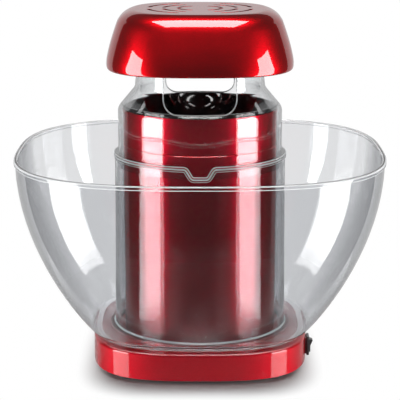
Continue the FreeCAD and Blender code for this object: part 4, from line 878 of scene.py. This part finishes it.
# The outer face goes back to the wall, widens into the rim, comes forward and is pushed in.
pick("FACE", lambda f: f.normal.x > 0.9)
bpy.ops.transform.translate(value=(-BEZEL_PROUD * MM, 0, 0))
bpy.ops.mesh.extrude_region_move()
bpy.ops.transform.resize(value=(1, SWITCH_WIDE / body_wide, SWITCH_TALL / body_tall))
bpy.ops.mesh.extrude_region_move(TRANSFORM_OT_translate={"value": (BEZEL_PROUD * MM, 0, 0)})
bpy.ops.mesh.inset(thickness=BEZEL_RIM * MM)
bpy.ops.mesh.extrude_region_move(TRANSFORM_OT_translate={"value": (-WELL_DEPTH * MM, 0, 0)})
tidy(bezel)
soften(bezel, 0.6)
smooth(bezel)
bezel.data.materials.append(finishes["polished_black_abs"])
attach(bezel, "base")
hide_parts("switch_frame")
print("bezel stands", round(BEZEL_PROUD, 2), "mm proud of the wall")

# %% Rocker
TILT = radians(11.0)
AXIS = Vector((85.4, SWITCH_Y, SWITCH_Z))
KEY_GAP = 2.15
KEY_WIDE, KEY_TALL = SWITCH_WIDE - KEY_GAP, SWITCH_TALL - KEY_GAP
KEY_FACE, KEY_BACK, KEY_END = 3.6, 1.2, 0.65


def tilted(x, z):
    """A point of the rocker's side view after it has tipped towards its lower end."""
    return (AXIS.x + x * cos(TILT) + z * sin(TILT), AXIS.y - KEY_WIDE,
            AXIS.z - x * sin(TILT) + z * cos(TILT))


rise = (KEY_TALL - KEY_END) * tan(TILT)
lower = [(-KEY_BACK, -KEY_TALL / 2), (0, -KEY_TALL), (KEY_FACE + rise, -KEY_TALL + KEY_END)]
upper = [(x, -z) for x, z in reversed(lower)]
rocker = prism([tilted(x, z) for x, z in [*lower, (KEY_FACE, 0), *upper]], (0, 2 * KEY_WIDE, 0))
rocker.name = "switch_rocker_key"
soften(rocker, 0.35, angle=15)
smooth(rocker, 25)
rocker.data.materials.append(finishes["polished_black_abs"])
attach(rocker, "rocker")
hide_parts("switch_rocker")
print("rocker", round(2 * KEY_TALL, 1), "mm tall")

# %% Bar and ring marks
PRINT, SUNK = (0.16, 0, 0), 0.05
BAR_HALF, BAR_LOW, BAR_HIGH = 0.35, 1.6, 4.2
RING_OUT, RING_IN, RING_PLACE = 1.15, 0.7, -2.9


def on_slope(y, up, out):
    """A point on the rocker's sloping face: along Y, up the slope, and a height out of it."""
    px, _, pz = tilted(KEY_FACE + abs(up) * tan(TILT) + out, up)
    return (px, AXIS.y + y, pz)


def mark_circle(radius, out):
    """A circle on the rocker's lower half."""
    return [on_slope(radius * cos(a), RING_PLACE + radius * sin(a), out) for a in around(28)]


def paint_mark(piece, name):
    """Name a thin raised print, give it its ink and let it ride on the rocker."""
    piece.name = name
    smooth(piece)
    piece.data.materials.append(finishes["white_print"])
    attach(piece, "rocker")


bar = prism([on_slope(y, up, -SUNK) for y, up in (
    (-BAR_HALF, BAR_LOW), (BAR_HALF, BAR_LOW), (BAR_HALF, BAR_HIGH), (-BAR_HALF, BAR_HIGH))], PRINT)
soften(bar, 0.04, segments=1, angle=50)
paint_mark(bar, "switch_mark_bar")
ring_mark = prism(mark_circle(RING_OUT, -SUNK), PRINT)
cut(ring_mark, prism(mark_circle(RING_IN, -0.4), (1.0, 0, 0)))
paint_mark(ring_mark, "switch_mark_ring")
print("marks stand", PRINT[0] - SUNK, "mm out of the rocker")

# %% [markdown]
# ## Pieces whose CAD shape is already right
# The feet, screws, fan, motor, heater and the rest need no new modelling. But a CAD mesh comes as
# loose triangles that shade flat. So each is copied, its doubles are merged so that smooth shading
# can run across them, and the copy stands for the node.

# %% Smooth copies with their finishes
trims = [
    ("black_rubber", "foot_rubber", ["rubber_feet", "cord_bush"]),
    ("textured_black_abs", "black_matt", ["base_plate", "cord_clamp", "fan_duct", "motor_cover",
                                          "cap_liner"]),
    ("zinc_plate", "screw_steel", ["base_screws", "clamp_screws", "drum_screws", "chamber_screws",
                                   "motor_screws", "sleeve_screws", "cap_screws"]),
    ("tinned_steel", "bright_steel", ["motor_can", "motor_shaft", "heater_sleeve", "thermal_fuse"]),
    ("pressed_mica", "mica", ["mica_plate_lower", "mica_plate_upper"]),
    ("anodised_aluminium", "dark_aluminium", ["popping_chamber"]),
    ("stamped_brass", "brass_tag", ["switch_terminals"]),
    ("natural_nylon", "fan_nylon", ["fan_impeller"]),
    ("oxidised_nichrome", "nichrome", ["heater_coil"]),
    ("white_ceramic", "ceramic", ["thermostat"]),
    ("phenolic_board", "board", ["rectifier_board"]),
    ("polished_black_abs", "black_matt", ["rectifier_diodes"])]


def smooth_copy(name, finish):
    """Stand a merged, smoothly shaded copy with a finish in a CAD node's place."""
    node = nodes[name]
    copy = bpy.data.objects.new(name + "_smooth", node.data.copy())
    bpy.context.scene.collection.objects.link(copy)
    copy.data.materials.clear()
    copy.data.materials.append(finishes[finish])
    only(copy)
    bpy.ops.object.mode_set(mode="EDIT")
    bpy.ops.mesh.select_all(action="SELECT")
    bpy.ops.mesh.remove_doubles(threshold=0.001 * MM)
    smooth(copy, 30)
    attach(copy, node["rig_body"])
    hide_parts(name)


for finish, slot_name, names in trims:
    for name in names:
        smooth_copy(name, finish)
    print(finish, "on", ", ".join(names))

# %% [markdown]
# ## The table
# A wide grey sheet. Its grey shows only near the feet, as a painted shade round the object that
# deepens the soft shadow the sheet takes there. Further out it fades to a plain white glow, which
# paints over the rest of the shadow, so that the object stands on white. Mirror images in the
# lacquer look past the sheet, as they would past the edge of a small table, so the drum's lower half
# stays deep. Light Path tells the rays apart: rays that have bounced off the object have a glossy
# depth above zero. The studio's light passes through the sheet, for shadow rays go through.

# %% Which rays come straight from the camera
def straight_rays(tree, path):
    """1 for rays that reach the eye directly or through clear plastic, 0 for others, from a Light Path."""
    seen = add_node(tree, "ShaderNodeMath", {
        0: path.outputs["Is Camera Ray"], 1: path.outputs["Is Transmission Ray"]}, operation="MAXIMUM")
    bounces = add_node(tree, "ShaderNodeMath", {
        0: path.outputs["Glossy Depth"], 1: path.outputs["Diffuse Depth"]}, operation="ADD")
    direct = add_node(tree, "ShaderNodeMath", {0: bounces.outputs["Value"], 1: 0.5}, operation="LESS_THAN")
    return add_node(tree, "ShaderNodeMath", {
        0: seen.outputs["Value"], 1: direct.outputs["Value"]}, operation="MULTIPLY").outputs["Value"]


# %% Distance over the sheet
# Measured as the fourth root of x^4 + y^4, whose lines of equal distance are rounded squares like
# the base, drawn in a little from side to side.
sheet = blank_material("painted_shade_grey_sheet")
tree = sheet.node_tree
path = add_node(tree, "ShaderNodeLightPath")
place = add_node(tree, "ShaderNodeTexCoord").outputs["Object"]
drawn_in = add_node(tree, "ShaderNodeVectorMath", {0: place, 1: (1.2, 1.0, 1.0)}, operation="MULTIPLY")
squares = add_node(tree, "ShaderNodeVectorMath", {
    0: drawn_in.outputs["Vector"], 1: drawn_in.outputs["Vector"]}, operation="MULTIPLY")
length = add_node(tree, "ShaderNodeVectorMath", {0: squares.outputs["Vector"]}, operation="LENGTH")
distance = add_node(tree, "ShaderNodeMath", {0: length.outputs["Value"], 1: 0.5}, operation="POWER")

# %% Grey paper, a painted shade round the object, that fades to white
FADE_START, FADE_END = 87 * MM, 120 * MM
fade = add_node(tree, "ShaderNodeMapRange", {
    "Value": distance.outputs["Value"], "From Min": FADE_START, "From Max": FADE_END},
    interpolation_type="SMOOTHSTEP")
seen_fade = add_node(tree, "ShaderNodeMath", {
    0: fade.outputs["Result"], 1: straight_rays(tree, path)}, operation="MULTIPLY")
# The grey is a painted shade: it shows only round the object's foot, where it darkens the sheet's real
# shadow.
painted_shade_paper = add_node(tree, "ShaderNodeBsdfDiffuse", {"Color": linear("#A8A8A8")})
glow = add_node(tree, "ShaderNodeEmission", {"Color": linear("#FFFFFF"), "Strength": 1.0})
surface = add_node(tree, "ShaderNodeMixShader", {
    0: seen_fade.outputs["Value"], 1: painted_shade_paper.outputs["BSDF"], 2: glow.outputs["Emission"]})
print("the sheet turns white from", FADE_START, "to", FADE_END, "m")

# %% What mirror images and shadow rays don't see
EDGE_START, EDGE_END, NEAR_EDGE = 160 * MM, 300 * MM, 0.25
mirrored = add_node(tree, "ShaderNodeMath", {
    0: path.outputs["Glossy Depth"], 1: 0.5}, operation="GREATER_THAN")
table_edge = add_node(tree, "ShaderNodeMapRange", {
    "Value": distance.outputs["Value"], "From Min": EDGE_START, "From Max": EDGE_END, "To Min": NEAR_EDGE},
    interpolation_type="SMOOTHSTEP")
past_edge = add_node(tree, "ShaderNodeMath", {
    0: mirrored.outputs["Value"], 1: table_edge.outputs["Result"]}, operation="MULTIPLY")
hidden = add_node(tree, "ShaderNodeMath", {
    0: past_edge.outputs["Value"], 1: path.outputs["Is Shadow Ray"]}, operation="MAXIMUM")
nothing = add_node(tree, "ShaderNodeBsdfTransparent")
whole = add_node(tree, "ShaderNodeMixShader", {
    0: hidden.outputs["Value"], 1: surface.outputs["Shader"], 2: nothing.outputs["BSDF"]})
add_node(tree, "ShaderNodeOutputMaterial", {"Surface": whole.outputs["Shader"]})
print("mirror images lose it from", EDGE_START, "to", EDGE_END, "m")

# %% Table
table = add(bpy.ops.mesh.primitive_plane_add, size=40)
bpy.ops.object.mode_set(mode="OBJECT")
table.name = "table_sheet"
table.data.materials.append(sheet)
print("table", round(table.dimensions.x), "m wide")

# %% [markdown]
# ## The studio
# Shiny red paint shows the room, so the room is half of its colour. A dark tent with a few soft
# lamps in it and a pale sheet behind suits it: the paint then runs from deep maroon to one bright
# band beside each lamp, and turns pale where one looks along it. The tent and
# the lamp panels are pieces of the studio round the object. Straight rays pass through them, so that the
# background is white from every side. The lamp above is only there to be mirrored, in the cap's
# shoulder, and the one behind only to light the plastic, so each is hidden from the other rays.

# %% World: white to look at, gentle as a light
LIGHT_LEVEL = 0.8
world = bpy.data.worlds.new("white_surround")
bpy.context.scene.world = world
world.use_nodes = True
world.node_tree.nodes.clear()
path = add_node(world.node_tree, "ShaderNodeLightPath")
straight = add_node(world.node_tree, "ShaderNodeMath", {
    0: path.outputs["Is Camera Ray"], 1: path.outputs["Is Transmission Ray"]}, operation="MAXIMUM")
looked = add_node(world.node_tree, "ShaderNodeMath", {
    0: straight.outputs["Value"], 1: path.outputs["Is Glossy Ray"]}, operation="MAXIMUM")
level = add_node(world.node_tree, "ShaderNodeMapRange", {
    "Value": looked.outputs["Value"], "To Min": LIGHT_LEVEL})
sky = add_node(world.node_tree, "ShaderNodeBackground", {
    "Color": linear("#FFFFFF"), "Strength": level.outputs["Result"]})
add_node(world.node_tree, "ShaderNodeOutputWorld", {"Surface": sky.outputs["Background"]})
print("the world lights at", LIGHT_LEVEL, "of white")

# %% Panels
OBJECT_MIDDLE = Vector((0, 0, 0.14))


def screen(name, place, strength):
    """A panel of the studio; place gives its point for u and v from 0 to 1, in metres from the object's
    middle.
    """
    piece = add(bpy.ops.mesh.primitive_grid_add, x_subdivisions=24, y_subdivisions=12, size=1)
    for vert in bmesh.from_edit_mesh(piece.data).verts:
        vert.co = OBJECT_MIDDLE + place(vert.co.x + 0.5, vert.co.y + 0.5)
    bpy.ops.object.mode_set(mode="OBJECT")
    piece.name = name
    material = blank_material(name + "_cloth")
    tree = material.node_tree
    straight = straight_rays(tree, add_node(tree, "ShaderNodeLightPath"))
    cloth = add_node(tree, "ShaderNodeEmission", {"Color": linear("#FFFFFF"), "Strength": strength})
    nothing = add_node(tree, "ShaderNodeBsdfTransparent")
    mixed = add_node(tree, "ShaderNodeMixShader", {
        0: straight, 1: cloth.outputs["Emission"], 2: nothing.outputs["BSDF"]})
    add_node(tree, "ShaderNodeOutputMaterial", {"Surface": mixed.outputs["Shader"]})
    piece.data.materials.append(material)
    print(name, "at strength", strength)
    return piece


# %% Places for the tent and the lamps
TENT_AWAY, LAMP_AWAY = 4.8, 3.0


def dome(west, east, low, high, away):
    """Places on a dome between two azimuths from the front and two elevations, in degrees."""
    def place(u, v):
        azimuth, height = radians(west + (east - west) * u), radians(low + (high - low) * v)
        return away * Vector((sin(azimuth) * cos(height), -cos(azimuth) * cos(height), sin(height)))
    return place


def beside(side):
    """Places on a tall lamp at the right (1) or left (-1). It reaches from 54 to 89 degrees round
    from the front, leans in at the top of its back edge, and its top rises a little to the back."""
    return lambda u, v: dome(54 * side, (89 - 9 * v ** 4) * side, -50, 19 + 2 * u, LAMP_AWAY)(u, v)


def overhead(u, v):
    """Places on a flat lamp above, most of it in front of the object."""
    return Vector((2.7 * (u - 0.5), 2.8 * v - 2.17, LAMP_AWAY))


# %% The tent and the lamps
screen("tent_front", dome(-132, 132, -88, 89, TENT_AWAY), 0.07)
screen("tent_back", dome(132, 228, 25, 89, TENT_AWAY), 0.07)
screen("back_sheet", dome(132, 228, -30, 25, TENT_AWAY), 0.62)
screen("lamp_right", beside(1), 7.6)
screen("lamp_left", beside(-1), 7.6)
above = screen("lamp_above", overhead, 9.0)
above.visible_diffuse = False
behind = screen("lamp_behind", dome(115, 245, 35, 85, LAMP_AWAY), 4.0)
behind.visible_glossy = False

# %% [markdown]
# ## The camera
# A long lens a little above the rim, looking slightly down: it keeps the sides upright and shows a
# little of the cap's top. It looks at a point on the object's axis from a little over a metre away.

# %% Camera
CAMERA_PLACE, LOOK_DOWN, LENS = (0, -1.1986, 0.3994), radians(12.78), 137.05
bpy.ops.object.select_all(action="DESELECT")
bpy.ops.object.camera_add(location=CAMERA_PLACE, rotation=(pi / 2 - LOOK_DOWN, 0, 0))
camera = bpy.context.object
camera.data.lens = LENS
camera.data.sensor_width = 36
bpy.context.scene.camera = camera
bpy.context.scene.view_settings.view_transform = "Standard"
print("camera at", [round(v, 3) for v in camera.location])
